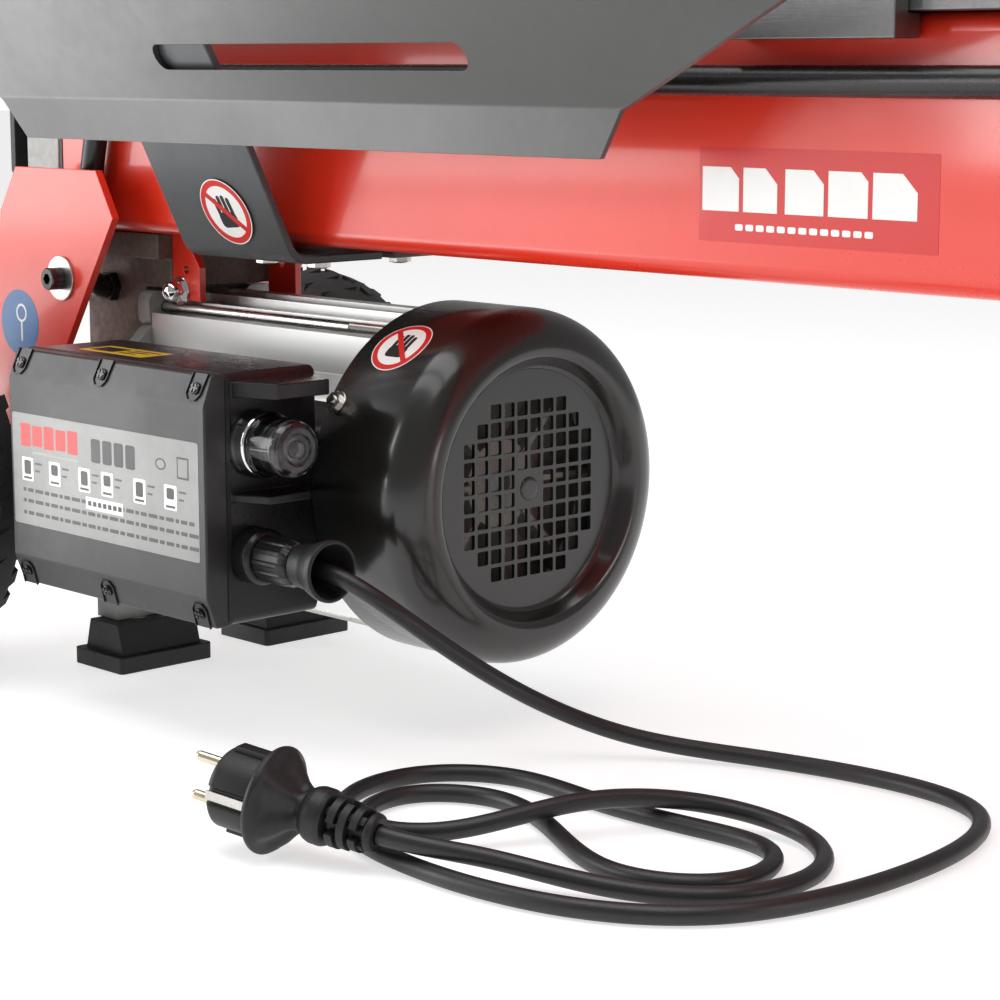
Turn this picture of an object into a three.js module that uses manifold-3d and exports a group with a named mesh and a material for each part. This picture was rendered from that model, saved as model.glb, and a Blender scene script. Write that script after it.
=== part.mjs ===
// Horizontal electric log splitter, about 6.5 t, for logs up to 50 cm.
// Millimetres, +Z up. +X runs along the beam from the wheels to the transport handle, -Y is the operator's side.
// Lengths along X are given from the near edge of the rubber feet and moved to the middle of the machine at the end.
import * as THREE from 'three';
import { NURBSCurve } from 'three/addons/curves/NURBSCurve.js';
import { mergeVertices } from 'three/addons/utils/BufferGeometryUtils.js';
import Module from 'manifold-3d';

const wasm = await Module();
wasm.setup();

// ---------------------------------------------------------------- driving dimensions
const GAP = 0.3;                       // clearance between touching pieces
const CENTRE_X = 353;                   // middle of the machine along X

const BEAM = { x0: -94, x1: 925, halfWidth: 55, z0: 257, z1: 377, wall: 5, corner: 9 };
const GUIDE = { x0: -141, x1: 860, halfWidth: 65, z0: BEAM.z1 + GAP, thickness: 8 };
const GUIDE_TOP = GUIDE.z0 + GUIDE.thickness;
const END_BLOCK = { x0: -141, x1: -97, halfWidth: 56, z0: 261, z1: 376.5 };
const WEDGE = { x0: -136, tipX: -45, halfThickness: 21, top: 520 };

const CYL = { z: 435, bore: 32, radius: 38, x0: 492, x1: 915, rod: 16, stroke: 370 };
const PUSHER = { x0: 445, x1: 470, top: 486 };

const MOTOR = { z: 132, finRadius: 90, coreRadius: 73, x0: -19, x1: 185.7, bore: 66 };
const COVER = { x0: 186, x1: 263, radius: 96, rim: 27, wall: 2.2, dishRadius: 61, recess: 11 };
const GRILLE = { pitch: 9.65, hole: 7.7, rowHalfCounts: [3, 4, 5, 5, 5, 5, 5, 5, 4, 3] };
const TIE = { y: 36, dz: 81, radius: 3 };
const SHAFT = 9;

const BOX = { x0: 9, x1: 186, z0: 69, z1: 200, backY: -92, rimY: -150, lidY: -165, wall: 3 };
const BUTTON = { y: -132, z: 163, radius: 13.5, tipX: 221 };
const GLAND = { y: -135, z: 105, x1: 225, mouthX: 250 };

const PUMP = { x0: -96, x1: -36.6, headX1: -10, headZ: 224, halfWidth: 48, z0: 92, z1: 256.7, flange: 15 };
const BRACKET = { x0: -9, x1: 17, y: 38, z0: 218, thickness: 4.4 };
const GEAR = { teeth: 12, root: 15.4, tip: 20, spacing: 36, x0: -80, x1: -52 };

const WHEEL = { x: -120, z: 110, radius: 110, y0: 138, y1: 185, rimRadius: 66 };
const AXLE_RADIUS = 10;
const PLATE_Y = 80;
const PLATE_THICKNESS = 5;

const FOOT = { x0: -48, x1: 0, y0: 21, y1: 88, base: 10, height: 28 };
const LEG = { x: 800, width: 40, footY: 150, topY: 62 };

const TRAY = {
  thickness: 3, lowZ: 313, bendZ: 335, topZ: 392, lowY: 110, bendY: 113, topY: 146,
  lowX0: -48, lowX1: 409, bendX0: -68, bendX1: 425, cutSlope: 2.48,
};
const SLOT = { x0: 99, x1: 339, z0: 352, z1: 365 };
const STRAP = {
  x0: 46, x1: 140, thickness: 4.5, z: 248, bendY: 62, leanY: 101, leanZ: 317, foldZ: 339, topY: 138.2, topZ: 386.5,
};
const PIPE = { radius: 7, y: 64, z: 348, x1: 669.7 };
const VALVE = { x0: 670, x1: 740, y0: -112, y1: -55.3, z0: 312, z1: 372 };
const LEVER = { x: 705, y: -84, z: 386, top: 505, pin: 4 };

// ---------------------------------------------------------------- geometry helpers
/** Closed geometry with merged corners and outward faces. */
function tidy(geometry) {
  let g = geometry.clone();
  g.deleteAttribute('normal');
  g.deleteAttribute('uv');
  g = mergeVertices(g, 1e-3);
  const p = g.attributes.position;
  const index = Array.from(g.index.array);
  let volume = 0;
  const a = new THREE.Vector3(), b = new THREE.Vector3(), c = new THREE.Vector3();
  for (let i = 0; i < index.length; i += 3) {
    a.fromBufferAttribute(p, index[i]);
    b.fromBufferAttribute(p, index[i + 1]);
    c.fromBufferAttribute(p, index[i + 2]);
    volume += a.dot(b.clone().cross(c));
  }
  const kept = [];
  for (let i = 0; i < index.length; i += 3) {
    const [u, v, w] = [index[i], index[i + 1], index[i + 2]];
    if (u === v || v === w || w === u) continue;
    kept.push(...(volume < 0 ? [u, w, v] : [u, v, w]));
  }
  g.setIndex(kept);
  return g;
}

/** three.js geometry to a manifold solid. */
function solid(geometry) {
  const g = tidy(geometry);
  return new wasm.Manifold(new wasm.Mesh({
    numProp: 3,
    vertProperties: new Float32Array(g.attributes.position.array),
    triVerts: new Uint32Array(g.index.array),
  }));
}

/** Manifold solid back to a three.js geometry. */
function geometryOf(manifold) {
  const mesh = manifold.getMesh();
  const g = new THREE.BufferGeometry();
  g.setAttribute('position', new THREE.BufferAttribute(new Float32Array(mesh.vertProperties), 3));
  g.setIndex(Array.from(mesh.triVerts));
  return g;
}

const join = (first, ...rest) => geometryOf(rest.reduce((sum, g) => sum.add(solid(g)), solid(first)));
const cut = (first, ...rest) => geometryOf(rest.reduce((sum, g) => sum.subtract(solid(g)), solid(first)));

function box(x0, x1, y0, y1, z0, z1) {
  const g = new THREE.BoxGeometry(x1 - x0, y1 - y0, z1 - z0);
  return g.translate((x0 + x1) / 2, (y0 + y1) / 2, (z0 + z1) / 2);
}

/** Extrusions of a 2-D outline: along X from (y, z), along Y from (x, z), along Z from (x, y). */
function alongX(shape, x0, x1) {
  const g = new THREE.ExtrudeGeometry(shape, { depth: x1 - x0, bevelEnabled: false, curveSegments: 3 });
  return g.rotateX(Math.PI / 2).rotateZ(Math.PI / 2).translate(x0, 0, 0);
}
function alongY(shape, y0, y1) {
  const g = new THREE.ExtrudeGeometry(shape, { depth: y1 - y0, bevelEnabled: false, curveSegments: 3 });
  return g.rotateX(Math.PI / 2).translate(0, y1, 0);
}
function alongZ(shape, z0, z1) {
  const g = new THREE.ExtrudeGeometry(shape, { depth: z1 - z0, bevelEnabled: false, curveSegments: 3 });
  return g.translate(0, 0, z0);
}

const outline = (points) => new THREE.Shape(points.map(([u, v]) => new THREE.Vector2(u, v)));

/** Rectangle with rounded corners, as a Shape. */
function roundedRect(u0, u1, v0, v1, r) {
  const s = new THREE.Shape();
  s.moveTo(u0 + r, v0);
  s.lineTo(u1 - r, v0);
  s.absarc(u1 - r, v0 + r, r, -Math.PI / 2, 0);
  s.lineTo(u1, v1 - r);
  s.absarc(u1 - r, v1 - r, r, 0, Math.PI / 2);
  s.lineTo(u0 + r, v1);
  s.absarc(u0 + r, v1 - r, r, Math.PI / 2, Math.PI);
  s.lineTo(u0, v0 + r);
  s.absarc(u0 + r, v0 + r, r, Math.PI, 1.5 * Math.PI);
  return s;
}

/** Body of revolution about a line along X through (y, z); profile points are [x, radius]. */
function turnedX(profile, y, z, segments = 20) {
  const g = new THREE.LatheGeometry(profile.map(([x, r]) => new THREE.Vector2(r, x)), segments);
  return g.rotateZ(-Math.PI / 2).translate(0, y, z);
}
const rodX = (r, x0, x1, y, z, n) => turnedX([[x0, 0], [x0, r], [x1, r], [x1, 0]], y, z, n);
const ringX = (r0, r1, x0, x1, y, z, n) =>
  turnedX([[x0, r0], [x0, r1], [x1, r1], [x1, r0], [x0, r0]], y, z, n);
const rodY = (r, y0, y1, x, z, n = 20) =>
  new THREE.CylinderGeometry(r, r, y1 - y0, n).translate(x, (y0 + y1) / 2, z);

/** Plate of one thickness that follows a polyline in the (y, z) plane. */
function bentPlate(points, thickness) {
  const p = points.map(([u, v]) => new THREE.Vector2(u, v));
  const normals = p.slice(1).map((q, i) => q.clone().sub(p[i]).normalize()).map((d) => new THREE.Vector2(-d.y, d.x));
  const inner = p.map((q, i) => {
    const before = normals[Math.max(i - 1, 0)];
    const after = normals[Math.min(i, normals.length - 1)];
    const mid = before.clone().add(after).normalize();
    return q.clone().add(mid.multiplyScalar(thickness / mid.dot(before)));
  });
  return new THREE.Shape([...p, ...inner.reverse()]);
}

const through = (points) =>
  new THREE.CatmullRomCurve3(points.map((q) => new THREE.Vector3(...q)), false, 'centripetal');

/** Tube of round section along a curve. */
function tube(path, radius, steps, sides) {
  const section = new THREE.Shape();
  for (let i = 0; i < sides; i++) {
    const t = (2 * Math.PI * i) / sides;
    if (i === 0) section.moveTo(radius, 0);
    else section.lineTo(radius * Math.cos(t), radius * Math.sin(t));
  }
  return new THREE.ExtrudeGeometry(section, { steps, bevelEnabled: false, extrudePath: path });
}

// ---------------------------------------------------------------- assembly
const machine = new THREE.Group();
machine.position.x = -CENTRE_X;

const FINISH = {
  red: [0xd01a10, 0.32, 0.1], black: [0x141414, 0.4, 0.1], darkGrey: [0x3a3a3a, 0.6, 0.3],
  castIron: [0x4b4744, 0.75, 0.4], aluminium: [0xb9bab8, 0.5, 0.8], zinc: [0xc8c8c4, 0.3, 0.9],
  steel: [0x9a9a98, 0.35, 0.9], chrome: [0xd8d8d8, 0.12, 1], plastic: [0x2b2b2b, 0.55, 0],
  lid: [0x6b6b6b, 0.5, 0], rubber: [0x1c1c1e, 0.8, 0], copper: [0xa8623a, 0.5, 0.6],
};

function add(name, geometry, finish) {
  const [color, roughness, metalness] = FINISH[finish];
  const shape = tidy(geometry);
  shape.computeVertexNormals();
  const mesh = new THREE.Mesh(shape, new THREE.MeshStandardMaterial({ color, roughness, metalness }));
  mesh.name = name;
  machine.add(mesh);
}

const SIDES = [['near', -1], ['far', 1]];
/** The same geometry on the other side of the machine's middle plane. */
const toSide = (geometry, side) => (side < 0 ? geometry : geometry.scale(1, -1, 1));

// ---------------------------------------------------------------- beam, tank ends and wedge
function beam() {
  const outer = roundedRect(-BEAM.halfWidth, BEAM.halfWidth, BEAM.z0, BEAM.z1, BEAM.corner);
  const w = BEAM.wall;
  outer.holes.push(roundedRect(
    -BEAM.halfWidth + w, BEAM.halfWidth - w, BEAM.z0 + w, BEAM.z1 - w, BEAM.corner - w));
  add('beam_tank', alongX(outer, BEAM.x0, BEAM.x1), 'red');
  add('guide_plate', box(GUIDE.x0, GUIDE.x1, -GUIDE.halfWidth, GUIDE.halfWidth, GUIDE.z0, GUIDE_TOP), 'steel');
}

function tankEnds() {
  const e = END_BLOCK;
  const body = alongX(roundedRect(-e.halfWidth, e.halfWidth, e.z0, e.z1, 12), e.x0 + 10, e.x1);
  const step = alongX(roundedRect(-e.halfWidth + 8, e.halfWidth - 8, e.z0 + 8, e.z1 - 8, 10), e.x0, e.x0 + 11);
  add('tank_end_block', join(body, step), 'aluminium');
  const cover = alongX(
    roundedRect(-BEAM.halfWidth + 1, BEAM.halfWidth - 1, BEAM.z0 + 1, BEAM.z1 - 1, 8), BEAM.x1 + GAP, BEAM.x1 + 11);
  add('tank_cover', cover, 'black');
}

function wedge() {
  const z0 = GUIDE_TOP + GAP;
  const t = WEDGE.halfThickness;
  const base = box(WEDGE.x0, WEDGE.tipX + 8, -58, 58, z0, z0 + 10);
  const blade = alongZ(outline([
    [WEDGE.tipX, 0], [WEDGE.tipX - 28, 8], [WEDGE.x0 + 6, t], [WEDGE.x0 + 6, -t], [WEDGE.tipX - 28, -8],
  ]), z0 + 5, WEDGE.top);
  const topCut = alongY(outline([
    [WEDGE.x0 - 10, WEDGE.top - 34], [WEDGE.tipX - 20, WEDGE.top + 10], [WEDGE.x0 - 10, WEDGE.top + 10],
  ]), -t - 5, t + 5);
  add('wedge', cut(join(base, blade), topCut), 'black');
}

// ---------------------------------------------------------------- log trays and their straps
/** Folded side plate: near-vertical lower flange, outward-leaning upper face, mitred ends and one long slot. */
function tray(side) {
  const T = TRAY;
  const reach = T.cutSlope * (T.topZ - T.bendZ);
  const sheet = alongX(bentPlate([
    [-T.lowY, T.lowZ], [-T.bendY, T.bendZ - 3], [-T.bendY - 1, T.bendZ + 2], [-T.topY, T.topZ],
  ], -T.thickness), T.bendX0 - reach, T.bendX1 + reach);
  const corner = (x, xLow, sign) => alongY(outline([
    [x, T.bendZ], [x + sign * reach, T.topZ], [x + sign * (reach + 20), T.topZ + 20],
    [x + sign * (reach + 40), T.lowZ - 10], [xLow - sign * 9, T.lowZ - 10], [xLow, T.lowZ],
  ]), -T.topY - 10, -T.lowY + 20);
  const r = (SLOT.z1 - SLOT.z0) / 2;
  const slot = alongY(roundedRect(SLOT.x0, SLOT.x1, SLOT.z0, SLOT.z1, r - 0.1), -T.topY - 10, -T.lowY + 20);
  return cut(sheet, corner(T.bendX1, T.lowX1, 1), corner(T.bendX0, T.lowX0, -1), slot);
}

/** Bent strap that carries a tray: flat under the beam, leaning out, then up behind the tray's whole face. */
function strap() {
  const S = STRAP;
  const bend = [];
  const centre = [-S.bendY + 4, S.z + 15];
  for (let i = 0; i <= 4; i++) {
    const t = THREE.MathUtils.degToRad(270 - 15.2 * i);
    bend.push([centre[0] + 15 * Math.cos(t), centre[1] + 15 * Math.sin(t)]);
  }
  const path = [[-4, S.z], ...bend, [-S.leanY, S.leanZ], [-S.leanY - 4.6, S.foldZ - 8], [-S.leanY - 9.7, S.foldZ], [-S.topY, S.topZ]];
  return alongX(bentPlate(path, -S.thickness), S.x0, S.x1);
}

function trays() {
  for (const [name, side] of SIDES) {
    add(`tray_${name}`, toSide(tray(), side), 'black');
    add(`tray_strap_${name}`, toSide(strap(), side), 'darkGrey');
  }
}

// ---------------------------------------------------------------- wheels, axle and bracket plates
function bracketPlate() {
  const y = -PLATE_Y;
  const plate = alongY(outline([
    [-108, 294], [-25, 294], [-9, 267], [-62, 186], [-92, 132], [-97, 96], [-112, 85], [-132, 86],
    [-146, 100], [-148, 128], [-126, 267],
  ]), y, y + PLATE_THICKNESS);
  const ear = box(-93, -70, y + PLATE_THICKNESS - 1, -BEAM.halfWidth - GAP, 270, 290);
  return cut(join(plate, ear), rodY(AXLE_RADIUS + 0.5, y - 5, y + 15, WHEEL.x, WHEEL.z));
}

function tyre() {
  const W = WHEEL;
  const [r, a, b] = [W.radius, W.y0, W.y1];
  const rim = W.rimRadius;
  const profile = [
    [rim, a + 5], [rim + 8, a], [r - 14, a], [r - 3, a + 6], [r, a + 14], [r, b - 14], [r - 3, b - 6],
    [r - 14, b], [rim + 8, b], [rim, b - 5], [rim, a + 5],
  ];
  const g = new THREE.LatheGeometry(profile.map(([u, v]) => new THREE.Vector2(u, -v)), 24);
  return g.translate(W.x, 0, W.z);
}

function rim() {
  const W = WHEEL;
  const [a, b] = [W.y0, W.y1];
  const r = W.rimRadius - GAP;
  const mid = (a + b) / 2;
  const hub = AXLE_RADIUS + 0.6;
  const profile = [
    [hub, a + 1], [20, a + 1], [20, mid - 3], [r - 8, mid - 3], [r - 4, a + 7], [r, a + 7], [r, b - 7],
    [r - 4, b - 7], [r - 8, mid + 3], [20, mid + 3], [20, b - 1], [hub, b - 1], [hub, a + 1],
  ];
  const g = new THREE.LatheGeometry(profile.map(([u, v]) => new THREE.Vector2(u, -v)), 24);
  return g.translate(W.x, 0, W.z);
}

function wheels() {
  for (const [name, side] of SIDES) {
    add(`axle_plate_${name}`, toSide(bracketPlate(), side), 'red');
    add(`tyre_${name}`, toSide(tyre(), side), 'rubber');
    add(`wheel_rim_${name}`, toSide(rim(), side), 'zinc');
  }
  const y = WHEEL.y1 + 3;
  const collar = (s) => rodY(AXLE_RADIUS + 5, s > 0 ? WHEEL.y1 - 0.6 : -y, s > 0 ? y : -WHEEL.y1 + 0.6, WHEEL.x, WHEEL.z);
  add('axle', join(rodY(AXLE_RADIUS, -y, y, WHEEL.x, WHEEL.z), collar(1), collar(-1)), 'zinc');
}

// ---------------------------------------------------------------- pump, its gears and the mounting bracket
function gear(phase, z) {
  const points = [];
  const pitch = (2 * Math.PI) / GEAR.teeth;
  for (let i = 0; i < GEAR.teeth; i++) {
    for (const [share, r] of [[-0.22, GEAR.root], [-0.1, GEAR.tip], [0.1, GEAR.tip], [0.22, GEAR.root]]) {
      const t = phase + pitch * (i + share);
      points.push([r * Math.cos(t), z + r * Math.sin(t)]);
    }
  }
  return alongX(outline(points), GEAR.x0, GEAR.x1);
}

function pump() {
  const P = PUMP;
  const z1 = MOTOR.z;
  const z2 = MOTOR.z + GEAR.spacing;
  const block = alongX(roundedRect(-38, 38, P.z0, P.z1 - P.flange + 1, 10), P.x0, P.x1);
  const head = box(P.x0, P.headX1, -38, 38, P.headZ, P.z1 - 1);
  const flange = box(P.x0, P.headX1, -P.halfWidth, P.halfWidth, P.z1 - P.flange, P.z1);
  const bore = rodX(GEAR.tip + 0.8, GEAR.x0 - 1, GEAR.x1 + 1, 0, z1);
  const bore2 = rodX(GEAR.tip + 0.8, GEAR.x0 - 1, GEAR.x1 + 1, 0, z2);
  const shaftWay = rodX(SHAFT + 0.7, GEAR.x1 - 1, P.x1 + 5, 0, z1, 24);
  const stub = rodX(6.6, GEAR.x0 - 10, GEAR.x1 + 10, 0, z2, 20);
  add('pump_body', cut(join(block, head, flange), join(bore, bore2, shaftWay, stub)), 'castIron');
  add('drive_gear', cut(gear(Math.PI / 2, z1), rodX(SHAFT - 2 + GAP, GEAR.x0 - 5, GEAR.x1 + 5, 0, z1, 24)), 'steel');
  add('driven_gear', join(gear(Math.PI / 2 + Math.PI / GEAR.teeth, z2), rodX(6, GEAR.x0 - 9, GEAR.x1 + 9, 0, z2, 20)), 'steel');
}

/** Folded red bracket under the beam, with an ear down each side between the motor's fins. */
function mountPlate() {
  const B = BRACKET;
  const top = BEAM.z0 - GAP;
  const web = box(B.x0, B.x1 - 14, -B.y, B.y, top - B.thickness, top);
  const ear = outline([[B.x0, B.z0], [B.x1, B.z0], [B.x1, 238], [B.x1 - 14, top], [B.x0, top]]);
  const hole = rodY(2.6, -B.y - 5, B.y + 5, 4, 236, 10);
  const ears = [-1, 1].map((side) => toSide(alongY(ear, -B.y, B.thickness - B.y), side));
  add('mount_plate', cut(join(web, ...ears), hole), 'red');
}

// ---------------------------------------------------------------- electric motor
/** Tapered rubber block on a base flange. */
function rubberFoot() {
  const F = FOOT;
  const base = alongZ(roundedRect(F.x0, F.x1, -F.y1, -F.y0, 3), 0, F.base);
  const side = outline([
    [F.x0 + 5, F.base - 1], [F.x1 - 5, F.base - 1], [F.x1 - 10, F.height], [F.x0 + 10, F.height],
  ]);
  return join(base, alongY(side, -F.y1 + 5, -F.y0 - 5));
}

/** The four tie bolt centres as [name, y, z offset from the motor axis]. */
const TIE_PLACES = [
  ['upper_near', -TIE.y, TIE.dz], ['upper_far', TIE.y, TIE.dz],
  ['lower_near', -TIE.y, -TIE.dz], ['lower_far', TIE.y, -TIE.dz],
];
const tieHoles = (x0, x1, z) => TIE_PLACES.map(([, y, dz]) => rodX(TIE.radius + 0.5, x0, x1, y, z + dz, 10));

/** Drive-end shield: round plate with four tie-bolt lugs and two foot lugs that stand on the rubber blocks. */
function driveEndShield() {
  const x0 = PUMP.x1 + 6;
  const x1 = MOTOR.x0 - GAP;
  const z = MOTOR.z;
  const lugs = TIE_PLACES.map(([, y, dz]) =>
    alongX(roundedRect(y - 12, y + 12, z + dz - 11, z + dz + 9, 6), x0, x1 - 0.1));
  const feet = [-60, 60].map((y) => box(-40, x1 - 0.2, y - 16, y + 16, FOOT.height + GAP, 78));
  const whole = join(rodX(84, x0 + 1.5, x1, 0, z), ...lugs, ...feet);
  add('drive_end_shield', cut(whole, rodX(SHAFT + 0.7, x0 - 5, x1 + 5, 0, z), ...tieHoles(x0 - 5, x1 + 5, z)), 'aluminium');
}

/** Extruded housing: round core with parallel fins, upright above and below, level at the sides. */
function housing() {
  const M = MOTOR;
  const fins = [rodX(M.coreRadius, M.x0, M.x1, 0, 0, 28)];
  for (const offset of [-45, -30, -15, 0, 15, 30, 45]) {
    const reach = Math.sqrt(M.finRadius ** 2 - offset ** 2);
    fins.push(box(M.x0, M.x1, offset - 1.6, offset + 1.6, -reach, reach));
    fins.push(box(M.x0, M.x1, -reach, reach, offset - 1.6, offset + 1.6));
  }
  const hollow = rodX(M.bore, M.x0 - 5, M.x1 + 5, 0, 0, 28);
  add('motor_housing', cut(join(...fins), hollow).translate(0, 0, M.z), 'aluminium');
}

function motorInside() {
  const z = MOTOR.z;
  add('stator', turnedX([
    [45, 34], [40, 40], [40, 56], [52, 58], [52, MOTOR.bore - 0.6], [144, MOTOR.bore - 0.6], [144, 58],
    [156, 56], [156, 40], [151, 34], [45, 34],
  ], 0, z), 'copper');
  const shaft = turnedX([
    [GEAR.x0, 0], [GEAR.x0, SHAFT - 2], [GEAR.x1 + 2, SHAFT - 2], [GEAR.x1 + 2, SHAFT], [52, SHAFT], [52, 33], [144, 33],
    [144, SHAFT], [198, SHAFT], [198, 7], [226, 7], [226, 0],
  ], 0, z);
  add('rotor_shaft', shaft, 'steel');
}

/** Rear end shield: hub and rim joined by six spokes, clamped by the tie bolts under the fan cover. */
function rearEndShield() {
  const x0 = MOTOR.x1 + GAP;
  const x1 = x0 + 8;
  const parts = [ringX(64, 89, x0, x1, 0, 0, 32)];
  for (let i = 0; i < 6; i++) {
    parts.push(box(x0 + 1, x1 - 1, -6, 6, 18, 70).rotateX((i * Math.PI) / 3 + Math.PI / 6));
  }
  const ring = join(ringX(SHAFT + 0.7, 24, x0, x1 + 4, 0, 0), ...parts);
  add('rear_end_shield', cut(ring, ...tieHoles(x0 - 5, x1 + 5, 0)).translate(0, 0, MOTOR.z), 'aluminium');
}

function coolingFan() {
  const x0 = 208;
  const hub = ringX(7 + GAP, 24, x0, x0 + 22, 0, 0, 20);
  const disc = ringX(20, 80, x0, x0 + 3, 0, 0, 24);
  const parts = [disc];
  for (let i = 0; i < 8; i++) {
    parts.push(box(x0 + 1, x0 + 24, -1.5, 1.5, 22, 80).rotateX((i * Math.PI) / 4));
  }
  add('cooling_fan', join(hub, ...parts).translate(0, 0, MOTOR.z), 'plastic');
}

/** Pressed fan cover: straight skirt, fat rounded rim and a dished face with a grille of square holes. */
function fanCover() {
  const C = COVER;
  const centreX = C.x1 - C.rim;
  const arc = (r) => {
    const points = [];
    for (let i = 0; i <= 4; i++) {
      const t = (Math.PI / 2) * (i / 4);
      points.push([centreX + r * Math.sin(t), C.radius - C.rim + r * Math.cos(t)]);
    }
    return points;
  };
  const w = C.wall;
  const dish = C.dishRadius;
  const floor = C.x1 - C.recess;
  const outer = [[C.x0, C.radius], ...arc(C.rim), [C.x1 - 2, dish + 5.2], [floor + 2, dish + 2], [floor, dish], [floor, 0]];
  const inner = [[floor - w, 0], [floor - w, dish + 0.8], [floor, dish + 3.4], [C.x1 - 4, dish + 7.2],
    ...arc(C.rim - w).reverse(), [C.x0, C.radius - w], [C.x0, C.radius]];
  const shell = turnedX([...outer, ...inner], 0, 0, 36);
  const holes = [];
  GRILLE.rowHalfCounts.forEach((half, row) => {
    const z = (row - 4.5) * GRILLE.pitch;
    for (let column = -half; column < half; column++) {
      const y = (column + 0.5) * GRILLE.pitch;
      if (Math.abs(y) < GRILLE.pitch && Math.abs(z) < GRILLE.pitch) continue;
      const h = GRILLE.hole / 2;
      holes.push(solid(box(floor - w - 4, C.x1 + 4, y - h, y + h, z - h, z + h)));
    }
  });
  const cover = solid(shell).subtract(wasm.Manifold.union(holes));
  add('fan_cover', geometryOf(cover).translate(0, 0, MOTOR.z), 'black');
}

function tieBolts() {
  const head = PUMP.x1 + 5.6;
  for (const [name, y, dz] of TIE_PLACES) {
    const profile = [[head - 5, 0], [head - 5, 5.5], [head, 5.5], [head, TIE.radius], [199, TIE.radius], [199, 0]];
    add(`tie_bolt_${name}`, turnedX(profile, y, MOTOR.z + dz, 10), 'steel');
  }
}

// ---------------------------------------------------------------- terminal box, button and cable gland
function terminalBox() {
  const B = BOX;
  const w = B.wall;
  const body = alongY(roundedRect(B.x0, B.x1, B.z0, B.z1, 5), B.rimY, B.backY);
  const hollow = alongY(roundedRect(B.x0 + w, B.x1 - w, B.z0 + w, B.z1 - w, 3), B.rimY - 5, B.backY - w);
  const saddle = box(40, 150, B.backY - 1, -MOTOR.finRadius - GAP, 100, 164);
  const hood = alongZ(outline([[B.x1 - 1, -148], [212, -138], [212, -104], [B.x1 - 1, -93]]), 188, 196);
  const rib = alongZ(outline([[B.x1 - 1, -149], [206, -140], [206, -112], [B.x1 - 1, -96]]), 134, 138);
  const buttonHole = rodX(BUTTON.radius + 0.7, B.x1 - 8, B.x1 + 6, BUTTON.y, BUTTON.z, 20);
  const glandHole = rodX(9, B.x1 - 8, B.x1 + 6, GLAND.y, GLAND.z, 16);
  add('terminal_box', cut(join(body, saddle, hood, rib), hollow, buttonHole, glandHole), 'plastic');
}

/** Lid with sloped bands along its top and bottom, open behind. */
function terminalLid() {
  const B = BOX;
  const y1 = B.rimY - GAP;
  const section = (inset) => outline([
    [y1 + (inset ? 5 : 0), B.z0 + inset], [B.lidY + 6 + inset, B.z0 + inset], [B.lidY + inset, B.z0 + 16],
    [B.lidY + inset, B.z1 - 16], [B.lidY + 6 + inset, B.z1 - inset], [y1 + (inset ? 5 : 0), B.z1 - inset],
  ]);
  const skin = alongX(section(0), B.x0, B.x1);
  add('terminal_lid', cut(skin, alongX(section(3), B.x0 + 3, B.x1 - 3)), 'lid');
}

function boxFittings() {
  add('run_capacitor', rodX(17, 20, 95, -122, 176, 20), 'plastic');
  add('button_collar', ringX(BUTTON.radius + 0.7, 18, BOX.x1 + GAP, BOX.x1 + 11, BUTTON.y, BUTTON.z, 20), 'chrome');
  add('start_button', turnedX([
    [176, 0], [176, BUTTON.radius], [214, BUTTON.radius], [BUTTON.tipX, BUTTON.radius - 3], [BUTTON.tipX, 0],
  ], BUTTON.y, BUTTON.z, 20), 'plastic');
  add('cable_gland', turnedX([
    [178, 0], [178, 8.7], [BOX.x1 + GAP, 8.7], [BOX.x1 + GAP, 15], [197, 15], [199, 13.5], [GLAND.x1, 12.5], [GLAND.x1, 0],
  ], GLAND.y, GLAND.z, 16), 'plastic');
  add('gland_boot', turnedX([
    [GLAND.x1 + GAP, 5.3], [GLAND.x1 + GAP, 11], [236, 12], [246, 15.5], [GLAND.mouthX, 16],
    [GLAND.mouthX, 13.5], [243, 11.5], [236, 7.5], [229, 5.3], [GLAND.x1 + GAP, 5.3],
  ], GLAND.y, GLAND.z, 16), 'rubber');
}

// ---------------------------------------------------------------- hydraulic cylinder, pusher and valve
function cylinder() {
  const C = CYL;
  add('cylinder_barrel', ringX(C.bore, C.radius, C.x0, C.x1, 0, C.z, 24), 'steel');
  add('cylinder_head', turnedX([
    [478, C.rod + 0.5], [478, 36], [482, 42], [C.x0 - GAP, 42], [C.x0 - GAP, C.bore - GAP], [508, C.bore - GAP],
    [508, C.rod + 0.5], [478, C.rod + 0.5],
  ], 0, C.z, 24), 'black');
  add('cylinder_cap', turnedX([
    [C.x1 - 4, 0], [C.x1 - 4, C.bore - GAP], [C.x1 + GAP, C.bore - GAP], [C.x1 + GAP, 42], [929, 42], [933, 36], [933, 0],
  ], 0, C.z, 24), 'black');
  const saddleBlock = box(560, 840, -34, 34, GUIDE_TOP + GAP, 412);
  add('cylinder_saddle', cut(saddleBlock, rodX(C.radius + GAP, 550, 850, 0, C.z, 24), box(600, 800, -40, 40, 380, 420 - 22)), 'black');
  add('piston', rodX(C.bore - 0.5, 885, 908, 0, C.z, 24), 'steel');
  add('piston_rod', rodX(C.rod, PUSHER.x1 + GAP, 885 - GAP, 0, C.z, 24), 'chrome');
}

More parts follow.
